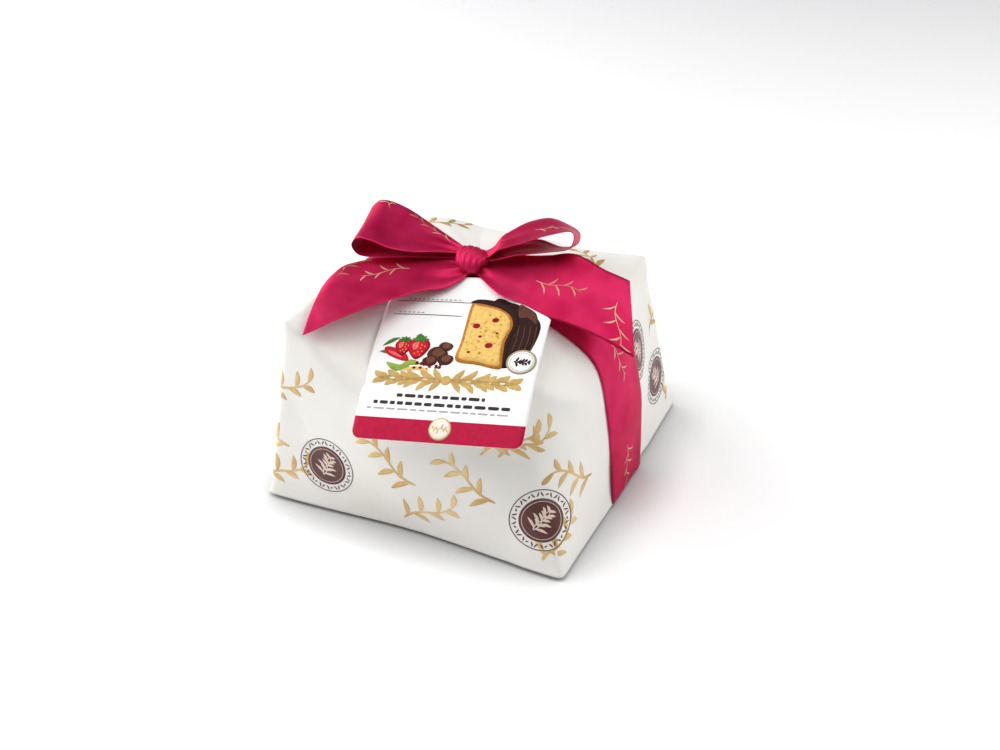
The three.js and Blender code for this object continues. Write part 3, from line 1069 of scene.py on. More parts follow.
def sprig(length: float, height: float, leaves: int, width: float) -> list[Array]:
    """A small plant mark: a waving stem with leaves to both sides by turns, starting at zero.

    Args:
        length: Length of the stem in mm.
        height: How far the leaves reach from the stem in mm.
        leaves: How many leaves there are.
        width: Width of the widest leaf in mm.

    Returns:
        Strokes of places and widths.
    """
    t = np.linspace(0, 1, 9)
    stem = np.stack([length * t, 0.16 * height * np.sin(2 * np.pi * t), width * (0.5 - 0.25 * t)], 1)
    marks = [stem]
    for k in range(leaves):
        share = (k + 0.7) / (leaves + 0.4)
        x, y = length * share, 0.16 * height * math.sin(2 * math.pi * share)
        way = 1 if k % 2 == 0 else -0.8
        reach = height * (1 - 0.45 * share)
        marks.append(np.array([
            (x, y, 0.3 * width),
            (x + 0.10 * length, y + 0.45 * way * reach, width),
            (x + 0.16 * length, y + way * reach, 0.2 * width)]))
    return marks


@dataclass
class PaperPrint:
    """Gold leaf sprays in a half-drop repeat and brown round seals, printed on the gift paper."""

    paper: GiftPaper
    seal_radius: float = 20.5
    disc_radius: float = 14.6
    ring_radius: float = 12.9
    leaf_radius: float = 17.5
    leaf_half: float = 1.5
    leaves: int = 36
    spray_length: float = 46.0
    spray_height: float = 15.0
    spray_leaves: int = 7
    spray_width: float = 4.2
    lean: float = 32.0
    pitch: float = 55.0
    rows: Sequence[float] = (24, 57, 90)
    clear: float = 34.0
    roof_sprays: Sequence[tuple[float, float, float]] = ((-58, 60, 40), (58, 60, 140))
    seals: Sequence[tuple[Side, float, float, float]] = (
        (Side.FRONT, -63, 38, 12), (Side.FRONT, 92, 40, -8),
        (Side.RIGHT, 36, 92, 80), (Side.RIGHT, 82, 42, 70),
        (Side.BACK, 48, 78, 10), (Side.BACK, -34, 32, -14),
        (Side.LEFT, -52, 36, 20), (Side.LEFT, 60, 84, -12))

    def spray(self, along: float, up: float, turn: float) -> list[Array]:
        """One leaf spray, with its middle at a place and turned by so many degrees."""
        marks = sprig(self.spray_length, self.spray_height, self.spray_leaves, self.spray_width)
        return moved(moved(marks, -self.spray_length / 2, 0), along, up, turn)

    def covered(self, side: Side, along: float, up: float) -> bool:
        """Whether a spray there would run under the tag, the ribbon or a seal.

        Args:
            side: The wall.
            along: The middle of the spray, in mm along the wall.
            up: The same, in mm up from the foot.

        Returns:
            True if it would.
        """
        under_tag = side is Side.FRONT and -60 < along < 62 and up > 80
        under_ribbon = side in (Side.LEFT, Side.RIGHT) and abs(along) < 50
        near_seal = any(face is side and math.dist((along, up), (a, b)) < self.clear
                        for face, a, b, _ in self.seals)
        return under_tag or under_ribbon or near_seal

    def repeat(self, side: Side) -> list[Array]:
        """The sprays of one wall: rows half a pitch apart, which lean to either side by turns.

        Args:
            side: The wall.

        Returns:
            Strokes of places and widths.
        """
        marks = []
        for row, up in enumerate(self.rows):
            shift, turn = (0.25, 180 - self.lean) if row % 2 else (-0.25, self.lean)
            for column in (-1.5, -0.5, 0.5, 1.5):
                along = self.pitch * (column + shift)
                if not self.covered(side, along, up):
                    marks += self.spray(along, up, turn)
        return marks

    def build(self) -> list[bpy.types.Object]:
        """Makes both prints.

        Returns:
            The gold print and the seals.
        """
        charts = {side: self.paper.wall_chart(side) for side in Side}
        gold = FoilFinish().make()
        foliage = Print("paper_gold_print")
        layout = [(charts[side], self.repeat(side)) for side in Side]
        layout += [(self.paper.roof_chart(), self.spray(*place)) for place in self.roof_sprays]
        for chart, marks in layout:
            for line in marks:
                foliage.stroke(chart.lift, line, gold)
        seals = Print("paper_seals")
        brown = InkFinish("seal_brown", srgb(92, 52, 50), 0.14, 160).make()
        cream = InkFinish("seal_cream", srgb(232, 208, 196), 0.05).make()
        for side, along, up, turn in self.seals:
            self.seal(seals, self.flat_chart(charts[side], (along, up)), turn, brown, cream)
        return [foliage.finish("wrapping_paper"), seals.finish("wrapping_paper")]

    @staticmethod
    def flat_chart(chart: Chart, centre: tuple[float, float], reach: float = 24.0) -> Chart:
        """A chart round one place, measured in the plane that touches the paper there.

        The place on the wide chart that lies over each point of the plane is found by Newton steps.

        Args:
            chart: The wide chart.
            centre: The place.
            reach: How far the new chart goes to each side, in mm.

        Returns:
            The chart, with zero at the place.
        """
        middle = np.array(centre, float)
        probe = 12
        near = chart.lift(middle + probe * np.array([(0, 0), (1, 0), (-1, 0), (0, 1), (0, -1)]), 0.0)
        along, up = (near[1] - near[2]) / (2 * probe), (near[3] - near[4]) / (2 * probe)
        across = unit(along)
        rise = unit(np.cross(np.cross(along, up), across))
        slope = np.linalg.inv(np.array([[along @ across, up @ across], [along @ rise, up @ rise]]))
        ticks = np.linspace(-reach, reach, 49)
        places = np.stack(np.meshgrid(ticks, ticks), -1)
        guess = middle + places
        for _ in range(6):
            off = chart.lift(guess, 0.0) - near[0]
            guess = guess + (places - np.stack([off @ across, off @ rise], -1)) @ slope.T
        return Chart(Patch(chart.lift(guess, 0.0)), places[..., 0], places[..., 1])

    def seal(self, seals: Print, chart: Chart, turn: float, brown: bpy.types.Material,
             cream: bpy.types.Material) -> None:
        """Adds one seal: a disc with an ear of grain, a ring of small leaves and a thin outer ring.

        Args:
            seals: The print it is added to.
            chart: A chart with zero at the seal's middle.
            turn: Its turn in degrees.
            brown: Ink of the disc and rings.
            cream: Ink of the ear of grain.
        """
        low, high, step = 0.2, 0.3, 1.2
        seals.blob(chart.lift, oval((0, 0), self.disc_radius, 1, 72), brown, low, rings=9)
        for radius, width, count, ink, height in ((self.seal_radius, 0.6, 96, brown, low),
                                                  (self.ring_radius, 0.35, 64, cream, high)):
            seals.blob(chart.lift, oval((0, 0), radius, 1, count), ink, height, 1 - width / radius, 2)
        for k in range(self.leaves):
            angle = 2 * math.pi * k / self.leaves
            lean = 0.05 if k % 2 else -0.05
            half = self.leaf_half * (1.0 if k % 4 else 0.35)
            leaf = [(r * math.cos(angle + lean * t), r * math.sin(angle + lean * t), width)
                    for r, t, width in ((self.leaf_radius - half, -1, 0.5), (self.leaf_radius, 0.4, 1.0),
                                        (self.leaf_radius + half, 1, 0.4))]
            seals.stroke(chart.lift, leaf, brown, low, step)
        for flip in (1, -1):
            for line in moved(moved(sprig(17, 8 * flip, 7, 1.9), -8.5, 0), 0, 0, 58 + turn):
                seals.stroke(chart.lift, line, cream, high, step)


# ---------------------------------------------------------------- ribbon

@dataclass
class RibbonStrip:
    """A length of ribbon through sections, each a front edge and a back edge, gathered at the knot."""

    name: str
    sections: Sequence[Section]
    flat_length: float
    to_left: bool
    loop: bool
    folds: float = 3.0
    gather: float = 1.1
    flutter: float = 0.8
    crease: float = 0.9
    seed: int = 1
    steps: int = 150
    across: int = 28
    width: float = 50.0
    thickness: float = 0.28
    gather_reach: float = 26.0
    flutter_reach: float = 19.0

    def gathered(self, away: Array) -> Array:
        """How gathered the ribbon is, from 1 at the knot to 0, at mm away along it."""
        return np.exp(-((away / self.gather_reach) ** 1.5))

    @cached_property
    def surface(self) -> tuple[Array, Array]:
        """The ribbon's middle surface.

        Straight across between the two edges, plus pleats: a sine across the ribbon whose height
        falls away from the knot, and a slow flutter along it.

        Returns:
            Points, along by across, in mm, and the texture place of each in metres.
        """
        edges = smooth_line(np.array(self.sections, float), self.steps)
        if not self.to_left:
            edges = edges[:, ::-1]
        v = np.linspace(0, 1, self.across + 1)[None, :, None]
        p = edges[:, :1] * (1 - v) + edges[:, 1:] * v
        middle = p.mean(1)
        along = np.concatenate([[0], np.linalg.norm(np.diff(middle, axis=0), axis=1).cumsum()])
        near = self.gathered(along)
        if self.loop:
            near = near + self.gathered(along[-1] - along)
        near, along = near[:, None], along[:, None]
        spread = (np.linalg.norm(edges[:, 0] - edges[:, 1], axis=1) / self.width)[:, None]
        shape = v[..., 0]
        pleat = np.sin(2 * np.pi * self.folds * shape + 0.6) * near * self.gather
        pleat = pleat * np.sin(np.pi * np.clip(shape, 0.04, 0.96)) ** 0.5
        wave = self.flutter * np.sin(along / self.flutter_reach + 3.0 * shape) * (1 - near) * spread
        curl = 0.5 * (np.abs(2 * shape - 1) ** 6) * (1 - near)
        fine = 0.45 * (0.5 - np.abs(ripple(p, 44, self.seed + 50)))
        crease = self.crease * (ripple(p, 52, self.seed) + fine) * (1 - 0.6 * near)
        p = p + grid_normals(p) * (pleat + wave - curl + crease)[..., None]
        uv = np.stack(np.broadcast_arrays(along * MM, shape * self.width * MM), -1)
        return p, uv

    def build(self, satin: bpy.types.Material) -> bpy.types.Object:
        """Makes the strip and stands it in for its CAD node.

        Args:
            satin: The ribbon's material.

        Returns:
            The piece.
        """
        points, uv = self.surface
        piece = make_mesh(self.name + "_satin", points, grid_quads(*points.shape[:2]), [satin], uv=uv)
        thicken(piece, self.thickness, 0)
        settle(piece, "ribbon_satin", self.name)
        return piece

    @cached_property
    def chart(self) -> Chart:
        """Chart of the strip: mm along it, and mm from its middle."""
        points, uv = self.surface
        return Chart(Patch(points), uv[..., 0] / MM, uv[..., 1] / MM - self.width / 2)

    def lift(self, places: Array, height: float) -> Array:
        """Points over the outside of the strip at places on its chart."""
        return self.chart.lift(places, height + self.thickness / 2)


TAIL_RIGHT = RibbonStrip("ribbon_tail_right", (
    ((3, -9, 151.5), (4, 0, 156.5)), ((11, -15, 151.3), (10, 4, 158)), ((22, -24, 151.6), (18, 11, 159)),
    ((31, -29, 151.8), (31, 14, 159.5)), ((46, -30, 151.2), (48, 14, 163)), ((62, -31, 146), (66, 14, 168)),
    ((80, -30, 142), (86, 13, 163)), ((98, -28, 137), (97, 15, 159)), ((121, -22, 124), (103, 15, 157))),
    0.112, to_left=False, loop=False, folds=2.0, gather=1.5, flutter=0.9, crease=1.3, seed=3)
TAIL_LEFT = RibbonStrip("ribbon_tail_left", (
    ((0, -9, 151), (-5, -3, 154)), ((-3, -19, 149.4), (-12, -4, 155)),
    ((-10, -29, 147.4), (-24, -5, 155.5)), ((-20, -37, 147.6), (-42, -5, 153.5)),
    ((-32, -48, 146), (-64, -11, 150)), ((-46, -63, 144.5), (-82, -29, 148)),
    ((-60, -82, 142), (-87, -43, 145.5)),
    ((-77, -101, 136), (-88.5, -53, 143))),
    0.112, to_left=True, loop=False, folds=2.0, gather=1.3, flutter=0.8, crease=1.2, seed=7)
LOOP_LEFT = RibbonStrip("ribbon_loop_left", (
    ((-6, -5, 159), (-7, 3, 160)), ((-14, -6, 160.5), (-16, 6, 162)), ((-28, -13, 161.5), (-34, 13, 165.5)),
    ((-40, -18, 162), (-50, 19, 168)), ((-54, -23, 164.5), (-70, 24, 171)), ((-66, -25, 168), (-83, 25, 171)),
    ((-76, -25, 167.5), (-91, 25, 165)), ((-81, -25, 161), (-92, 25, 157)),
    ((-76, -25, 154.5), (-84, 25, 152)), ((-63, -24, 155), (-68, 24, 152)),
    ((-45, -18, 156.5), (-47, 18, 153)), ((-28, -11, 157), (-30, 11, 155.5)),
    ((-15, -6, 157.2), (-16, 6, 157.5)), ((-6, -5, 157), (-7, 3, 157.5))),
    0.17, to_left=True, loop=True, folds=2.5, gather=1.0, flutter=0.7, crease=1.3, seed=11)
LOOP_RIGHT = RibbonStrip("ribbon_loop_right", (
    ((4, -4, 160), (4, 4, 161)), ((11, -5, 163), (9, 8, 164)), ((19, -5, 171), (11, 17, 168)),
    ((31, -2, 177), (16, 29, 169)), ((44, 0, 183), (23, 40, 170)), ((57, 0, 189), (36, 43, 174)),
    ((65.5, 0, 192), (50, 43, 172)), ((68.5, 0, 190), (57, 43, 168)), ((67.5, 0, 183), (57, 43, 160)),
    ((63, 0, 178), (52, 43, 155)), ((52, 0, 174), (43, 41, 154)), ((38, -2, 170), (31, 34, 161)),
    ((26, -4, 166.5), (20, 24, 162)), ((13, -4, 160.5), (10, 9, 161.5)), ((4, -4, 158.5), (4, 4, 159))),
    0.135, to_left=False, loop=True, folds=2.0, gather=0.9, flutter=0.5, crease=0.8, seed=17)


@dataclass
class RibbonBand:
    """The ribbon pulled tight round the pack: in each slice it spans the paper's hollows."""

    paper: GiftPaper
    width: float = 50.0
    clear: float = 0.5
    hub: float = 60.0
    under: float = 0.5
    lane_share: float = 0.84
    steepest: float = 0.15
    turns: int = 300
    across: int = 16
    flat_length: float = 0.69
    thickness: float = 0.28

    def slice_points(self, y: float) -> Array:
        """Where the paper crosses one upright plane across the front.

        Args:
            y: The plane, in mm.

        Returns:
            X and height over the hub of each crossing, in mm.
        """
        _, folded, degrees = self.paper.surface
        heading = wrapped(degrees)
        crossings = []
        for half in (np.abs(heading) <= 90, np.abs(heading) > 90):
            for row in folded[:, half]:
                row = row[np.argsort(row[:, 1])]
                if row[0, 1] < y < row[-1, 1]:
                    crossings.append([np.interp(y, row[:, 1], row[:, k]) for k in (0, 2)])
        crossings = np.array(crossings)
        edges = crossings[crossings[:, 1] < self.paper.edge_lift + 0.5]
        under = np.stack([self.lane_share * edges[:, 0], np.full(len(edges), self.paper.lane_height)], 1)
        return np.concatenate([crossings, under]) - (0, self.hub)

    @cached_property
    def surface(self) -> tuple[Array, Array]:
        """The band's middle surface.

        In each slice the support of the crossings is found in every direction, and the radius in a
        direction is the least that any support line allows, which is the tight loop round them.

        Returns:
            Points, round by across, in mm, and the texture place of each in metres.
        """
        angle = np.linspace(0, 2 * np.pi, self.turns, endpoint=False) - np.pi / 2
        way = np.stack([np.cos(angle), np.sin(angle)], 1)
        lines = np.linspace(0, 2 * np.pi, 360, endpoint=False)
        normal = np.stack([np.cos(lines), np.sin(lines)], 1)
        facing = way @ normal.T
        columns = []
        for y in np.linspace(-self.width / 2, self.width / 2, self.across + 1):
            support = (self.slice_points(y) @ normal.T).max(0) + self.clear + self.thickness / 2
            reach = np.where(facing > self.steepest, support / np.maximum(facing, self.steepest), np.inf)
            radius = reach.min(1)
            x, z = (way * radius[:, None]).T
            columns.append(np.stack([x, np.full_like(x, y), np.maximum(z + self.hub, self.under)], 1))
        p = np.stack(columns, 1)
        along = np.linalg.norm(p - np.roll(p, 1, 0), axis=-1).mean(1).cumsum()
        v = np.linspace(0, self.width, self.across + 1)
        uv = np.stack(np.broadcast_arrays(along[:, None] * MM, v[None] * MM), -1)
        return p, uv

    def build(self, satin: bpy.types.Material) -> bpy.types.Object:
        """Makes the band and stands it in for its CAD node.

        Args:
            satin: The ribbon's material.

        Returns:
            The piece.
        """
        p, uv = self.surface
        ring = np.concatenate([p, p[:1]])
        uv = np.concatenate([uv, uv[-1:] + (uv[1:2] - uv[:1])])
        piece = make_mesh("ribbon_band_satin", ring, grid_quads(*ring.shape[:2]), [satin], uv=uv, weld=True)
        thicken(piece, self.thickness, 0)
        settle(piece, "ribbon_satin", "ribbon_band")
        return piece

    @cached_property
    def chart(self) -> Chart:
        """Chart of the band: mm from its crown, positive to the right, and mm from its middle.

        Returns:
            The chart.
        """
        p, _ = self.surface
        top = self.turns // 2
        along = np.linalg.norm(np.diff(p, axis=0), axis=-1).mean(1)
        along = np.concatenate([[0], along.cumsum()])
        along = np.repeat((along[top] - along)[:, None], p.shape[1], 1)
        return Chart(Patch(p), along, np.repeat(p[:1, :, 1], p.shape[0], 0))

    def lift(self, places: Array, height: float) -> Array:
        """Points over the outside of the band at places on its chart."""
        return self.chart.lift(places, height + self.thickness / 2)


@dataclass
class Knot:
    """The ribbon wound once over the bow's middle: a short barrel of pleats that run over the top."""

    centre: tuple[float, float, float] = (-2.0, -2.0, 156.4)
    half_length: float = 10.5
    half_depth: float = 9.5
    half_height: float = 7.6
    heading: float = -14.0
    rounds: int = 96
    steps: int = 60

    def build(self, satin: bpy.types.Material) -> bpy.types.Object:
        """Makes the knot.

        Rings round the bow's axis, narrower towards both ends, with ridges between pleats that lean
        with the winding, closed by a point inside each end.

        Args:
            satin: The ribbon's material.

        Returns:
            The piece.
        """
        a = np.linspace(-1, 1, self.steps)[:, None]
        turn = np.linspace(0, 2 * np.pi, self.rounds, endpoint=False)[None]
        lean = a + 0.22 * np.sin(turn + 0.9) + 0.06 * np.sin(3 * turn)
        pleat = np.abs(np.sin(2.3 * np.pi * lean + 0.5))
        pleat = pleat + 0.55 * np.abs(np.sin(4.9 * np.pi * lean + 1.3 * np.sin(turn)))
        girth = (1 - 0.24 * np.abs(a) ** 2.0) * np.sqrt(np.clip(1 - np.abs(a) ** 14, 0, 1))
        sag = 1 - 0.12 * np.cos(turn - 0.6) * ease(0.5 - np.sin(turn)) + 0.05 * np.sin(2 * turn)
        r = girth * sag * (1 + 0.13 * (pleat - 0.9))
        x = self.half_length * a * (1 + 0.16 * np.sin(turn))
        p = np.stack([x, self.half_depth * r * np.cos(turn), self.half_height * r * np.sin(turn)], -1)
        c, s = math.cos(math.radians(self.heading)), math.sin(math.radians(self.heading))
        p = p @ np.array([[c, s, 0], [-s, c, 0], [0, 0, 1]]) + self.centre
        uv = np.stack(np.broadcast_arrays(turn * 9 * MM, a * self.half_length * MM), -1)
        quads = grid_quads(self.steps, self.rounds, wrap=True)
        piece = make_mesh("ribbon_knot_satin", p, quads[:, ::-1], [satin], uv=uv, weld=True)
        return settle(piece, "ribbon_satin", "ribbon_knot")


@dataclass
class Bow:
    """Band, knot, loops and tails of one ribbon, with small gold sprigs printed on it."""

    paper: GiftPaper
    strips: Sequence[RibbonStrip] = (TAIL_RIGHT, TAIL_LEFT, LOOP_LEFT, LOOP_RIGHT)

    def build(self) -> None:
        """Makes every piece of the ribbon and its print."""
        satin = SatinFinish().make()
        band = RibbonBand(self.paper)
        band.build(satin)
        Knot().build(satin)
        for strip in self.strips:
            strip.build(satin)
        self.build_print(band)

    def build_print(self, band: RibbonBand) -> bpy.types.Object:
        """Prints a sprig at each of a few places along the ribbon.

        Args:
            band: The band that some of them are on.

        Returns:
            The print.
        """
        foil = FoilFinish("ribbon_gold", srgb(228, 196, 158), srgb(196, 140, 100), 0.4).make()
        marks = Print("ribbon_gold_print")
        margin = band.width / 2 - 2
        places: list[tuple[Lift, float, float, float]] = [
            (TAIL_LEFT.lift, 40, 4, 8), (TAIL_LEFT.lift, 90, 19, 160), (TAIL_RIGHT.lift, 44, 2, -6),
            (TAIL_RIGHT.lift, 100, -6, 80), (LOOP_LEFT.lift, 14, 12, 20), (LOOP_LEFT.lift, 62, 17, 60),
            (LOOP_RIGHT.lift, 40, 0, 10), (band.lift, 102, -4, 14), (band.lift, 186, -2, 4),
            (band.lift, -60, 4, 10), (band.lift, -150, 0, 6), (band.lift, 30, 4, -8)]
        for lift, along, up, turn in places:
            for line in moved(sprig(32, 9, 6, 1.15), 0, 0, turn):
                line[:, 0] += along
                line[:, 1] = np.clip(line[:, 1] + up, -margin, margin)
                marks.stroke(lift, line, foil, 0.1, step=1.0)
        return marks.finish("ribbon_satin")


# ---------------------------------------------------------------- tag

@dataclass
class Tag:
    """A white card with cut top corners that leans on the pack's front and bends over the shoulder."""

    foot: tuple[float, float, float] = (26.1, -120.3, 93.2)
    lean: float = 59.7
    heading: float = -11.3
    turn: float = 18.6
    bend: float = 18.0
    width: float = 117.0
    height: float = 114.0
    top: float = 124.0
    corner: float = 6.0
    thickness: float = 0.35
    left_top: Sequence[tuple[float, float]] = ((110, 58.5), (124, 34))
    right_top: Sequence[tuple[float, float]] = ((92, 58.5), (106, 30), (124, 12))

    def axes(self) -> tuple[Array, Array, Array]:
        """The card's own directions at its foot.

        Returns:
            Across it, up along it, and out of its face.
        """
        heading, lean, turn = (math.radians(d) for d in (self.heading, self.lean, self.turn))
        flat = math.cos(lean)
        out = np.array([math.sin(heading) * flat, -math.cos(heading) * flat, math.sin(lean)])
        level = np.array([math.cos(heading), math.sin(heading), 0])
        rise = np.cross(out, level)
        across = math.cos(turn) * level + math.sin(turn) * rise
        return across, np.cross(out, across), out

    def lift(self, places: Array, height: float) -> Array:
        """Points over the card's face, at mm from its middle line and mm up from its foot.

        The card is bent evenly along its height: the direction turns from half the bend to minus half
        of it, so going up it first rises off the leaning plane and then comes back to it.

        Args:
            places: Across and up in the last axis, in mm.
            height: How far off the face, in mm.

        Returns:
            Points in mm.
        """
        across, up, out = self.axes()
        half = math.radians(self.bend) / 2
        curve = 2 * half / self.height
        angle = (half - curve * places[..., 1])[..., None]
        run = (math.sin(half) - np.sin(angle)) / curve
        rise = (np.cos(angle) - math.cos(half)) / curve
        normal = np.cos(angle) * out - np.sin(angle) * up
        flat = np.array(self.foot) + places[..., :1] * across
        return flat + run * up + rise * out + normal * height

    def half_width(self, s: Array) -> Array:
        """Half the card's width, rounded at the foot, at s mm up from it."""
        r = self.corner
        return self.width / 2 - r + np.sqrt(np.clip(r**2 - np.clip(r - s, 0, r) ** 2, 0, None))

    def build(self) -> bpy.types.Object:
        """Makes the card: rounded below, and above cut in on both sides to go under the bow.

        Returns:
            The piece.
        """
        rounding = self.corner * (1 - np.cos(np.linspace(0, np.pi / 2, 12)))
        s = np.concatenate([rounding, np.linspace(self.corner, self.top, 66)[1:]])
        left = np.minimum(self.half_width(s), np.interp(s, *np.array(self.left_top).T))
        right = np.minimum(self.half_width(s), np.interp(s, *np.array(self.right_top).T))
        share = np.linspace(0, 1, 49)
        across = -left[:, None] * (1 - share) + right[:, None] * share
        places = np.stack([across, np.repeat(s[:, None], len(share), 1)], -1)
        quads = grid_quads(*places.shape[:2])
        piece = make_mesh("tag_card", self.lift(places, 0.0), quads, [CardFinish().make()])
        thicken(piece, self.thickness)
        settle(piece, "tag_card", "hang_tag")
        return piece


@dataclass
class TagPicture:
    """The printed picture: a cut cake and a dark loaf over fruit, an ornament, lines and a foot band.

    Inks lie over each other in thin layers, and drop moves what is drawn down the card, in mm.
    """

    tag: Tag
    drop: float = 0.0
    fruit_drop: float = 4.4
    ink_gloss: float = 0.08
    layer_height: float = 0.035
    seal_middle: tuple[float, float] = (46.4, 58.6)
    medallion_middle: tuple[float, float] = (1.7, 9.5)

    def ink(self, name: str, red: int, green: int, blue: int, mottle: float = 0.1,
            grain: float = 300) -> bpy.types.Material:
        """A printed colour from display values."""
        return InkFinish("tag_" + name, srgb(red, green, blue), mottle, grain, 0.6, self.ink_gloss).make()

    def build(self) -> bpy.types.Object:
        """Makes the print on the card's face.

        Returns:
            The print.
        """
        sheet = Print("tag_picture")
        self.build_foot(sheet)
        self.build_loaves(sheet)
        TagPicture(self.tag, self.fruit_drop).build_fruit(sheet)
        self.build_ornament(sheet)
        self.build_lines(sheet)
        return sheet.finish("tag_card", 0.03)

    def height(self, layer: int) -> float:
        """How far a layer of ink stands off the card, in mm."""
        return 0.04 + self.layer_height * layer

    def area(self, sheet: Print, outline: Array, ink: bpy.types.Material, layer: int,
             hole: float = 0.0) -> None:
        """Adds a filled shape, or a ring where hole is its inside as a share of its outside."""
        lower = np.asarray(outline, float) - (0, self.drop)
        sheet.blob(self.tag.lift, lower, ink, self.height(layer), hole, 6 if hole == 0 else 2)

    def line(self, sheet: Print, places: Stroke, ink: bpy.types.Material, layer: int) -> None:
        """Adds a stroke."""
        lower = np.asarray(places, float) - (0, self.drop, 0)
        sheet.stroke(self.tag.lift, lower, ink, self.height(layer), 1.5)

    def leaves(self, sheet: Print, marks: Sequence[Array], middle: tuple[float, float],
               ink: bpy.types.Material, layer: int, way: int = 1) -> None:
        """Adds a plant mark's strokes.

        Args:
            sheet: The print.
            marks: The strokes, from zero to the right.
            middle: Where zero goes.
            ink: The material.
            layer: The layer.
            way: 1 as given, -1 to the left.
        """
        for mark in marks:
            placed = np.array(mark)
            placed[:, 0] = middle[0] + way * placed[:, 0]
            placed[:, 1] += middle[1]
            self.line(sheet, placed, ink, layer)

    def build_foot(self, sheet: Print) -> None:
        """The raspberry band along the foot, rounded with the card, and the round medallion on it.

        Args:
            sheet: The print.
        """
        raspberry = self.ink("raspberry", 188, 26, 66)
        rounding = self.tag.corner * (1 - np.cos(np.linspace(0, np.pi / 2, 10)))
        s = np.concatenate([rounding, np.linspace(self.tag.corner, 15, 9)[1:]])
        half = self.tag.half_width(s) - 0.05
        places = np.stack([half[:, None] * np.linspace(-1, 1, 40), np.repeat(s[:, None], 40, 1)], -1)
        sheet.add(self.tag.lift(places, 0.05), raspberry)
        gold = self.ink("medallion_gold", 214, 178, 112)
        pale = self.ink("medallion_pale", 250, 238, 224)
        for radius, ink, layer in ((7.6, gold, 1), (6.8, pale, 2)):
            self.area(sheet, oval(self.medallion_middle, radius, 1, 64), ink, layer)
        for way in (1, -1):
            self.leaves(sheet, sprig(5.4, 3.4 * way, 4, 1.1), self.medallion_middle, gold, 3, way)

    def build_loaves(self, sheet: Print) -> None:
        """The cut cake with its crust, crumb and fruit, in front of the dark loaf, and the small seal.

        Args:
            sheet: The print.
        """
        dark = self.ink("chocolate", 50, 30, 28, 0.25, 900)
        chocolate = self.ink("chocolate_light", 92, 58, 46, 0.25, 700)
        crust = self.ink("crust", 196, 124, 48, 0.25, 500)
        crumb = self.ink("crumb", 238, 196, 112, 0.14, 500)
        pit, fruit = self.ink("crumb_pit", 214, 158, 76), self.ink("crumb_fruit", 150, 26, 42, 0.3)
        loaf = [(12, 60), (24, 55), (38, 54), (48, 62), (52.5, 74), (53, 86), (47, 94), (38, 100),
                (29, 103.5), (16, 103.5)]
        self.area(sheet, closed_curve(loaf, 90), dark, 1)
        gleam = [(37, 92), (43, 92), (50, 87), (48, 95), (41, 100), (35, 102)]
        self.area(sheet, closed_curve(gleam, 40), chocolate, 2)
        for a in (38, 42, 46, 50):
            self.line(sheet, [(a, 66, 0.7), (a + 1.2, 76, 0.7), (a + 0.4, 86, 0.7)], chocolate, 2)
        cake = [(1.7, 57.5), (17, 55), (33, 52.8), (32.9, 62), (32, 72.8), (34.5, 84), (31.6, 93.2),
                (23.5, 98.4), (14.6, 100.6), (6, 101.8), (1.7, 102), (1.8, 84.8), (1.9, 71)]
        self.area(sheet, closed_curve(cake, 110), crust, 3)
        icing = [(0.6, 102.6, 1.8), (6, 103.6, 3.4), (15, 102.6, 4.2), (24, 100, 4.6), (32, 94.8, 4.4),
                 (35.8, 86, 3.2), (34, 77, 2.2), (34, 66, 2.2), (34.6, 53.6, 1.6)]
        self.line(sheet, icing, dark, 6)
        inner = [(3.6, 59.6), (17, 57.2), (30.8, 55), (30.8, 62), (30, 72.8), (32.2, 84), (29.6, 92),
                 (22.6, 96.6), (14.2, 98.9), (6.8, 100), (3.8, 100), (3.7, 84.8), (3.8, 71)]
        self.area(sheet, closed_curve(inner, 110), crumb, 4)
        rng = np.random.default_rng(4)
        for _ in range(46):
            t = rng.uniform(0, 1, 2)
            low, high = np.array((5.5, 61 + 36 * t[1])), np.array((28, 58.5 + 33 * t[1]))
            spot = low + (high - low) * t[0]
            self.area(sheet, oval(spot, rng.uniform(0.35, 1.1), rng.uniform(0.6, 1.2), 12), pit, 5)
        for spot, size in (((9.5, 84), 2.6), ((21.5, 89), 2.5), ((21.5, 69.5), 2.7), ((14, 76), 1.2),
                           ((25, 79), 1.1), ((9, 64), 1.2)):
            self.area(sheet, oval(spot, size, 0.75, 18), fruit, 6)
        ring = self.ink("seal_ring", 176, 160, 132)
        white = self.ink("seal_white", 250, 249, 246, 0.02)
        for radius, ink, layer, hole in ((10.2, ring, 6, 0.0), (8.8, white, 7, 0.0), (7.9, ring, 8, 0.95)):
            self.area(sheet, oval(self.seal_middle, radius, 0.86, 48), ink, layer, hole)
        start = (41, self.seal_middle[1])
        self.leaves(sheet, sprig(11, 3.4, 5, 1.7) + sprig(11, -3.4, 5, 1.7), start, dark, 8)

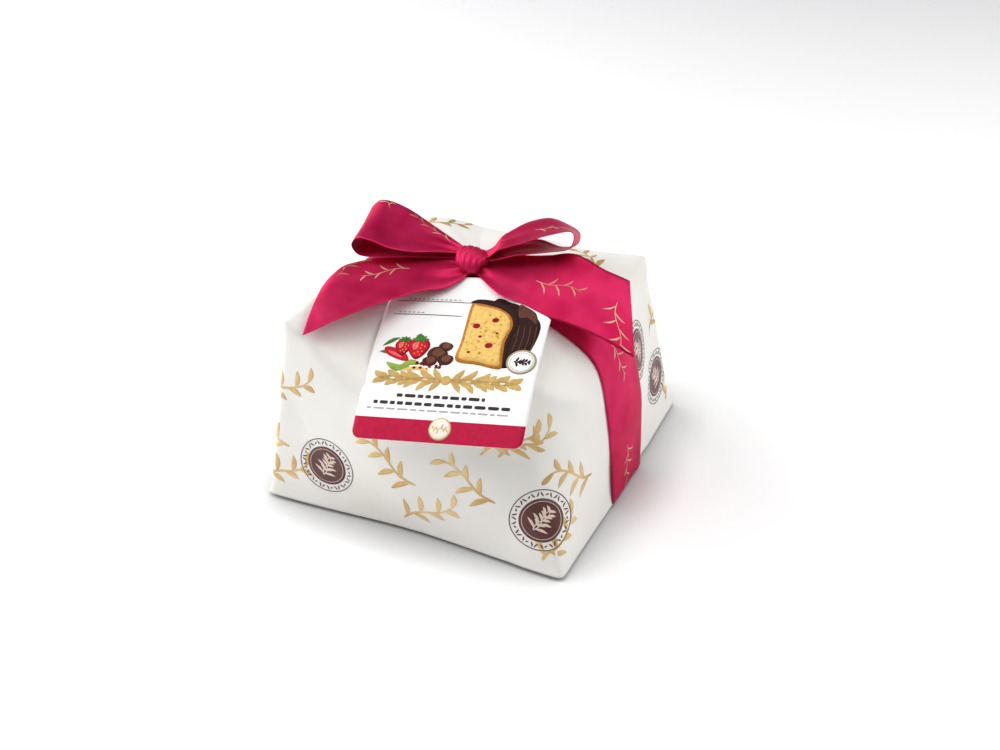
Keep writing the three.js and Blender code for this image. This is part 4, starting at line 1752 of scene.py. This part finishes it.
    def build_fruit(self, sheet: Print) -> None:
        """Two strawberries, green pods, pieces of chocolate and nibs.

        Args:
            sheet: The print.
        """
        red, deep = self.ink("berry", 206, 34, 50, 0.2), self.ink("berry_deep", 150, 16, 36, 0.2)
        leaf, pod = self.ink("leaf", 72, 128, 52, 0.25), self.ink("pod", 150, 178, 74, 0.2)
        seed, nib = self.ink("seed", 244, 200, 112), self.ink("nib", 74, 42, 32, 0.25)
        shine = self.ink("berry_shine", 238, 110, 112, 0.1)
        for start, tip, width in (((-52, 70), (-41, 77), 3.2), ((-53, 66), (-42, 64), 3.0),
                                  ((-30, 73), (-27, 81), 3.4), ((-22, 74), (-29, 80), 3.0)):
            middle = ((start[0] + tip[0]) / 2, (start[1] + tip[1]) / 2 + 0.8)
            self.line(sheet, [(*start, 0.6), (*middle, width), (*tip, 0.4)], leaf, 1)
        for line, ink, layer in (
                ([(-46, 58, 1.5), (-38, 54.5, 5), (-29, 56, 1.5)], pod, 2),
                ([(-36, 56, 1), (-29, 59, 4.4), (-22, 58, 1)], pod, 2),
                ([(-34, 53, 1.2), (-24, 55, 3), (-15, 53.6, 1.2)], seed, 2),
                ([(-50, 69, 2.4), (-45, 66.5, 6.4), (-36, 63, 6.2), (-31, 60, 2)], red, 2),
                ([(-47, 66.6, 0.8), (-42, 64.6, 2.2), (-36, 62.4, 0.8)], shine, 3)):
            self.line(sheet, line, ink, layer)
        for middle, size in (((-37, 70), 6.6), ((-26.2, 69.5), 8.4)):
            self.berry(sheet, middle, size, (deep, red, shine, seed, leaf))
        pale = self.ink("block_light", 112, 70, 52, 0.2)
        for middle, reach, turn in (((-12, 66), 7.2, 10), ((-5.6, 62), 5.6, 50), ((-16, 60.5), 5.2, 80),
                                    ((-7.5, 71.5), 5, 30)):
            angles = np.radians(turn + np.array((0, 75, 130, 190, 250, 310)))
            for size, ink, layer in ((1.0, nib, 5), (0.6, pale, 6)):
                x = middle[0] + size * reach * np.cos(angles) + (1 - size) * 1.6
                y = middle[1] + size * 0.74 * reach * np.sin(angles) + (1 - size) * 2.2
                self.area(sheet, closed_curve(np.stack([x, y], 1), 36), ink, layer)
        rng = np.random.default_rng(9)
        for _ in range(22):
            spot = (rng.uniform(-27, -6), rng.uniform(54.5, 59.5))
            crumb = oval(spot, rng.uniform(0.6, 1.3), rng.uniform(0.6, 1), 10)
            self.area(sheet, crumb, nib if rng.random() < 0.6 else deep, 6)

    def berry(self, sheet: Print, middle: tuple[float, float], size: float,
              inks: Sequence[bpy.types.Material]) -> None:
        """A strawberry: a heart in two reds with a gleam, seeds in a spiral, and a crown of leaves.

        Args:
            sheet: The print.
            middle: Its middle.
            size: Half its height in mm.
            inks: Inks of its edge, flesh, gleam, seeds and leaves.
        """
        deep, red, shine, seed, leaf = inks
        a, s = middle
        half = [(0.62, -0.5), (0.92, 0.25), (0.55, 0.8)]
        heart = [(0, -1), *half, (0, 0.72), *((-x, y) for x, y in half[::-1])]
        heart = np.array([(a + x * size, s + y * size) for x, y in heart])
        self.area(sheet, closed_curve(heart, 48), deep, 2)
        self.area(sheet, closed_curve((heart - (a, s)) * 0.86 + (a - 0.4, s + 0.3), 48), red, 3)
        self.area(sheet, oval((a - 0.3 * size, s + 0.2 * size), 0.26 * size, 1.3, 18), shine, 4)
        for k in range(12):
            turn, reach = 2.4 * k, size * math.sqrt(k + 1)
            spot = (a + 0.17 * reach * math.cos(turn), s + 0.19 * reach * math.sin(turn))
            self.area(sheet, oval(spot, 0.32, 1.4, 8), seed, 5)
        for k in range(5):
            turn = math.radians(20 + 35 * k)
            tip = (a + 0.8 * size * math.cos(turn), s + 0.62 * size + 0.62 * size * math.sin(turn))
            bend = ((a + tip[0]) / 2, (s + 0.72 * size + tip[1]) / 2, 2.2)
            self.line(sheet, [(a, s + 0.62 * size, 0.8), bend, (*tip, 0.3)], leaf, 6)

    def build_ornament(self, sheet: Print) -> None:
        """A wide gold plant ornament across the middle.

        Args:
            sheet: The print.
        """
        gold = self.ink("ornament_gold", 208, 172, 104, 0.12, 120)
        for flip in (1, -1):
            for mark in sprig(47, 8.0 * flip, 10, 4.2):
                for way in (1, -1):
                    self.leaves(sheet, [mark], (-1, 42.8), gold, 2, way)
        self.area(sheet, oval((-1.5, 42.8), 3.4, 1, 32), gold, 3)

    def build_lines(self, sheet: Print) -> None:
        """Rows of short dark dashes, and thin grey rules at the top left.

        Args:
            sheet: The print.
        """
        dark, grey = self.ink("line_dark", 62, 56, 56), self.ink("line_grey", 176, 172, 168)
        rng = np.random.default_rng(12)
        for start, end, s, width, ink in ((-33, 28, 30.8, 2.3, dark), (-48, 46, 25.4, 2.3, dark),
                                          (-52, 47, 21.2, 1.1, grey)):
            a = start
            while a < end - 2:
                length = min(rng.uniform(3, 8), end - a)
                self.line(sheet, [(a, s, width), (a + length / 2, s, width), (a + length, s, width)], ink, 2)
                a += length + 1.4
        for s, start, end in ((102, -52, 4), (91, -52, -2)):
            self.line(sheet, [(start, s, 0.6), ((start + end) / 2, s + 0.4, 0.6), (end, s, 0.6)], dark, 2)
        for s, start, end in ((104, -44, -8), (93, -48, -30)):
            for a in np.arange(start, end, 3.2):
                self.line(sheet, [(a, s, 0.9), (a + 1.1, s, 0.9), (a + 2.2, s, 0.9)], grey, 2)


# ---------------------------------------------------------------- what the paper hides

@dataclass
class Turned:
    """Pieces turned about the pack's axis: loaf, baking case, food bag and its tie, and the board."""

    steps: int = 192
    flute_steps: int = 768
    flutes: int = 96
    pleats: int = 24
    loaf_radius: float = 82.2
    loaf_foot: float = 6.6
    dome_foot: float = 90.0

    def spin(self, name: str, profile: Array, finish: bpy.types.Material, slot: str, node: str,
             wobble: Callable[[Array, Array], Array] | None = None, steps: int = 0) -> bpy.types.Object:
        """A closed turned piece.

        Args:
            name: Name of the object.
            profile: Radius and height from the axis below, round the outside, back to the axis, in mm.
            finish: Its material.
            slot: The record's slot.
            node: The CAD node it stands for.
            wobble: Shift in mm, radius and height last, from the angle and the profile, or None.
            steps: How many columns go round it, or 0 for the usual number.

        Returns:
            The object.
        """
        angle = np.linspace(0, 2 * np.pi, steps or self.steps, endpoint=False)[None]
        r, z = profile[:, :1] + 0 * angle, profile[:, 1:] + 0 * angle
        if wobble is not None:
            shift = wobble(angle, profile)
            r, z = r + shift[..., 0], z + shift[..., 1]
        p = np.stack([r * np.cos(angle), r * np.sin(angle), z], -1)
        quads = grid_quads(p.shape[0], p.shape[1], wrap=True)
        piece = make_mesh(name, p, quads, [finish], weld=True)
        return settle(piece, slot, node)

    def build(self) -> None:
        """Makes all of them."""
        self.build_loaf()
        self.build_case()
        self.build_bag()
        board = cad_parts["cake_board"]
        board.data.materials.clear()
        board.data.materials.append(BoardFinish().make())

    def build_loaf(self) -> bpy.types.Object:
        """The loaf: straight where the case held it, with an uneven dome that runs to a flat foot.

        Returns:
            The piece.
        """
        a = np.linspace(0, np.pi / 2, 60)
        radius, low = self.loaf_radius, self.loaf_foot
        dome = np.stack([radius * np.cos(a), self.dome_foot + 33.5 * np.sin(a) ** 1.4], 1)
        foot = np.array([(0, low), (40, low), (76, low), (79.5, 7.2), (81.6, 9.5), (radius, 13)])
        wall = np.stack([np.full(20, radius), np.linspace(17, 88, 20)], 1)

        def wobble(angle: Array, profile: Array) -> Array:
            """Lumps of the dome: slow waves round and up it that keep below the plain dome.

            Args:
                angle: Angles of the columns.
                profile: Radius and height of the rows.

            Returns:
                Shifts of radius and height in mm.
            """
            x, y = profile[:, :1] * np.cos(angle), profile[:, :1] * np.sin(angle)
            places = np.stack([x, y, profile[:, 1:] + 0 * angle], -1)
            lumps = 0.9 * ripple(places, 46, 5) + 0.5 * ripple(places, 17, 6) - 1.3
            top = ease((profile[:, 1:] - 80) / 22)
            return np.stack([-0.25 * top + 0 * lumps, lumps * top], -1)

        profile = np.concatenate([foot, wall, dome])
        return self.spin("loaf", profile, CrustFinish().make(), "loaf_crust", "panettone_loaf", wobble)

    def build_case(self) -> bpy.types.Object:
        """The baking case: a cup with fine upright flutes and a rim.

        Returns:
            The piece.
        """
        outer, inner, low = 83.55, 82.85, 5.55
        floor = low + 0.6
        wall = np.linspace(low + 1, 86, 24)
        profile = np.concatenate([
            [(0, low), (60, low), (outer - 0.5, low)], np.stack([np.full(24, outer), wall], 1),
            np.stack([np.full(24, inner), wall[::-1]], 1), [(inner - 0.4, floor), (60, floor), (0, floor)]])

        def flutes(angle: Array, profile: Array) -> Array:
            """Flutes on the outside of the wall, a small sine round it."""
            out = (profile[:, :1] > outer - 0.1) * 0.12 * (np.sin(self.flutes * angle) - 1)
            return np.stack([out, 0 * out], -1)

        return self.spin("case_paper", profile, MouldFinish().make(), "baking_paper", "baking_case", flutes,
                         self.flute_steps)

    def build_bag(self) -> None:
        """The clear bag, crinkled, gathered over the dome into an open neck, and the wire tie round it."""
        a = np.linspace(0, 1.46, 50)
        inner, neck, film = 84.05, 7.0, 0.35
        out_radius = inner + film

        def shell(lift: float) -> Array:
            """Profile of one face of the bag.

            Args:
                lift: How far the face is outside the inner one, in mm.

            Returns:
                Radius and height from the wall's foot to the neck's rim.
            """
            radius = inner + lift
            dome_radius = np.maximum(radius * np.cos(a), neck + lift)
            dome = np.stack([dome_radius, self.dome_foot + (35.3 + lift) * np.sin(a) ** 1.4], 1)
            rise = np.stack([np.full(12, neck + lift), np.linspace(130, 139, 12)], 1)
            return np.concatenate([[(radius, z) for z in np.linspace(8, 86, 16)], dome, rise])

        outer, inside = shell(film), shell(0.0)
        profile = np.concatenate([[(0, 4.45), (60, 4.45), (out_radius - 1, 4.5)], outer, inside[::-1],
                                  [(inner - 1, 4.9), (60, 4.9), (0, 4.9)]])

        def gathers(angle: Array, profile: Array) -> Array:
            """Pleats that deepen towards the neck: a sine round it that lifts and lowers the film.

            Args:
                angle: Angles of the columns.
                profile: Radius and height of the rows.

            Returns:
                Shifts of radius and height in mm.
            """
            near = ease((125 - profile[:, :1] * 1.3) / 100) * ease((profile[:, 1:] - 100) / 20)
            pleats = 0.5 * near * np.sin(self.pleats * angle + 0.05 * profile[:, 1:])
            return np.stack([np.zeros_like(pleats), pleats], -1)

        self.spin("bag_film", profile, FilmFinish().make(), "clear_film", "inner_bag", gathers)
        t = np.linspace(0, 2 * np.pi, 24)
        ring = np.stack([8.55 + 0.5 * np.cos(t), 132.7 + 1.5 * np.sin(t)], 1)
        wire = InkFinish("tie_wire", srgb(214, 178, 96), 0.05, 400, 0.35).make()
        self.spin("bag_tie_wire", ring, wire, "tie_wire", "bag_tie")


# ---------------------------------------------------------------- studio

@dataclass
class Studio:
    """Pale floor, soft light from the upper left, and the camera high in front to the right."""

    azimuth: float = 24.2515
    elevation: float = 34.1412
    shift: tuple[float, float] = (15.382, 52.370)
    distance: float = 1185.245
    lens: float = 59.4
    light_distance: float = 1400.0
    light_size: float = 900.0
    light_target: float = 60.0
    world_strength: float = 0.04
    floor_reach: float = 12000.0
    lights: Sequence[tuple[str, float, float, float]] = (
        ("left_low", -75, 20, 10.0), ("left_back", -110, 20, 8.0), ("front_left", -45, 50, 8.2),
        ("right_back", 120, 20, 5.0), ("right_high", 80, 50, 4.4), ("overhead", 0, 90, 4.6),
        ("back_high", 120, 50, 3.2))

    def axes(self) -> tuple[Array, Array, Array]:
        """The camera's own directions.

        Returns:
            Right, up and backward.
        """
        a, e = math.radians(self.azimuth), math.radians(self.elevation)
        right = np.array([math.cos(a), math.sin(a), 0])
        back = np.array([math.sin(a) * math.cos(e), -math.cos(a) * math.cos(e), math.sin(e)])
        return right, np.cross(back, right), back

    def build(self) -> None:
        """Makes floor, lights, world and camera."""
        self.build_floor()
        self.build_camera()
        for name, heading, rise, power in self.lights:
            self.build_light(name, heading, rise, power)
        world = bpy.data.worlds.new("studio")
        world.use_nodes = True
        sky = world.node_tree.nodes["Background"]
        sky.inputs["Color"].default_value = (1, 1, 1, 1)
        sky.inputs["Strength"].default_value = self.world_strength
        bpy.context.scene.world = world
        bpy.context.scene.view_settings.view_transform = "Standard"

    def build_floor(self) -> None:
        """A wide plain floor at the pack's foot."""
        reach = self.floor_reach
        corners = np.array([(-reach, -reach, 0), (reach, -reach, 0), (reach, reach, 0), (-reach, reach, 0)])
        make_mesh("floor", corners, np.array([[0, 1, 2, 3]]), [FloorFinish().make()])

    def build_light(self, name: str, heading: float, rise: float, power: float) -> None:
        """A square soft box that faces the pack.

        Args:
            name: Name of the light.
            heading: Its direction from the front towards the right, in degrees.
            rise: Its height over the horizon in degrees.
            power: Its power in watts.
        """
        a, e = math.radians(heading), math.radians(rise)
        way = np.array([math.sin(a) * math.cos(e), -math.cos(a) * math.cos(e), math.sin(e)])
        lamp = bpy.data.lights.new(name, "AREA")
        lamp.size, lamp.energy = self.light_size * MM, power
        piece = bpy.data.objects.new(name, lamp)
        piece.location = PACK.metres(way * self.light_distance + (0, 0, self.light_target))
        piece.rotation_euler = Vector(way).to_track_quat("Z", "Y").to_euler()
        bpy.context.scene.collection.objects.link(piece)

    def build_camera(self) -> None:
        """The camera, turned to the pack and shifted sideways and up in its own plane."""
        right, up, back = self.axes()
        lens = bpy.data.cameras.new("camera")
        lens.lens, lens.sensor_width = self.lens, 36.0
        lens.clip_end = 100.0
        camera = bpy.data.objects.new("camera", lens)
        place = PACK.metres(right * self.shift[0] + up * self.shift[1] + back * self.distance)
        turn = Matrix((right, up, back)).transposed().to_4x4()
        camera.matrix_world = Matrix.Translation(place) @ turn
        bpy.context.scene.collection.objects.link(camera)
        bpy.context.scene.camera = camera


def main() -> None:
    """Builds the pack and the studio, and reports each piece."""
    logging.basicConfig(level=logging.INFO, format="%(message)s")
    paper = GiftPaper()
    paper.build()
    PaperPrint(paper).build()
    Bow(paper).build()
    tag = Tag()
    tag.build()
    TagPicture(tag).build()
    Turned().build()
    Studio().build()


if __name__ == "__main__":
    main()
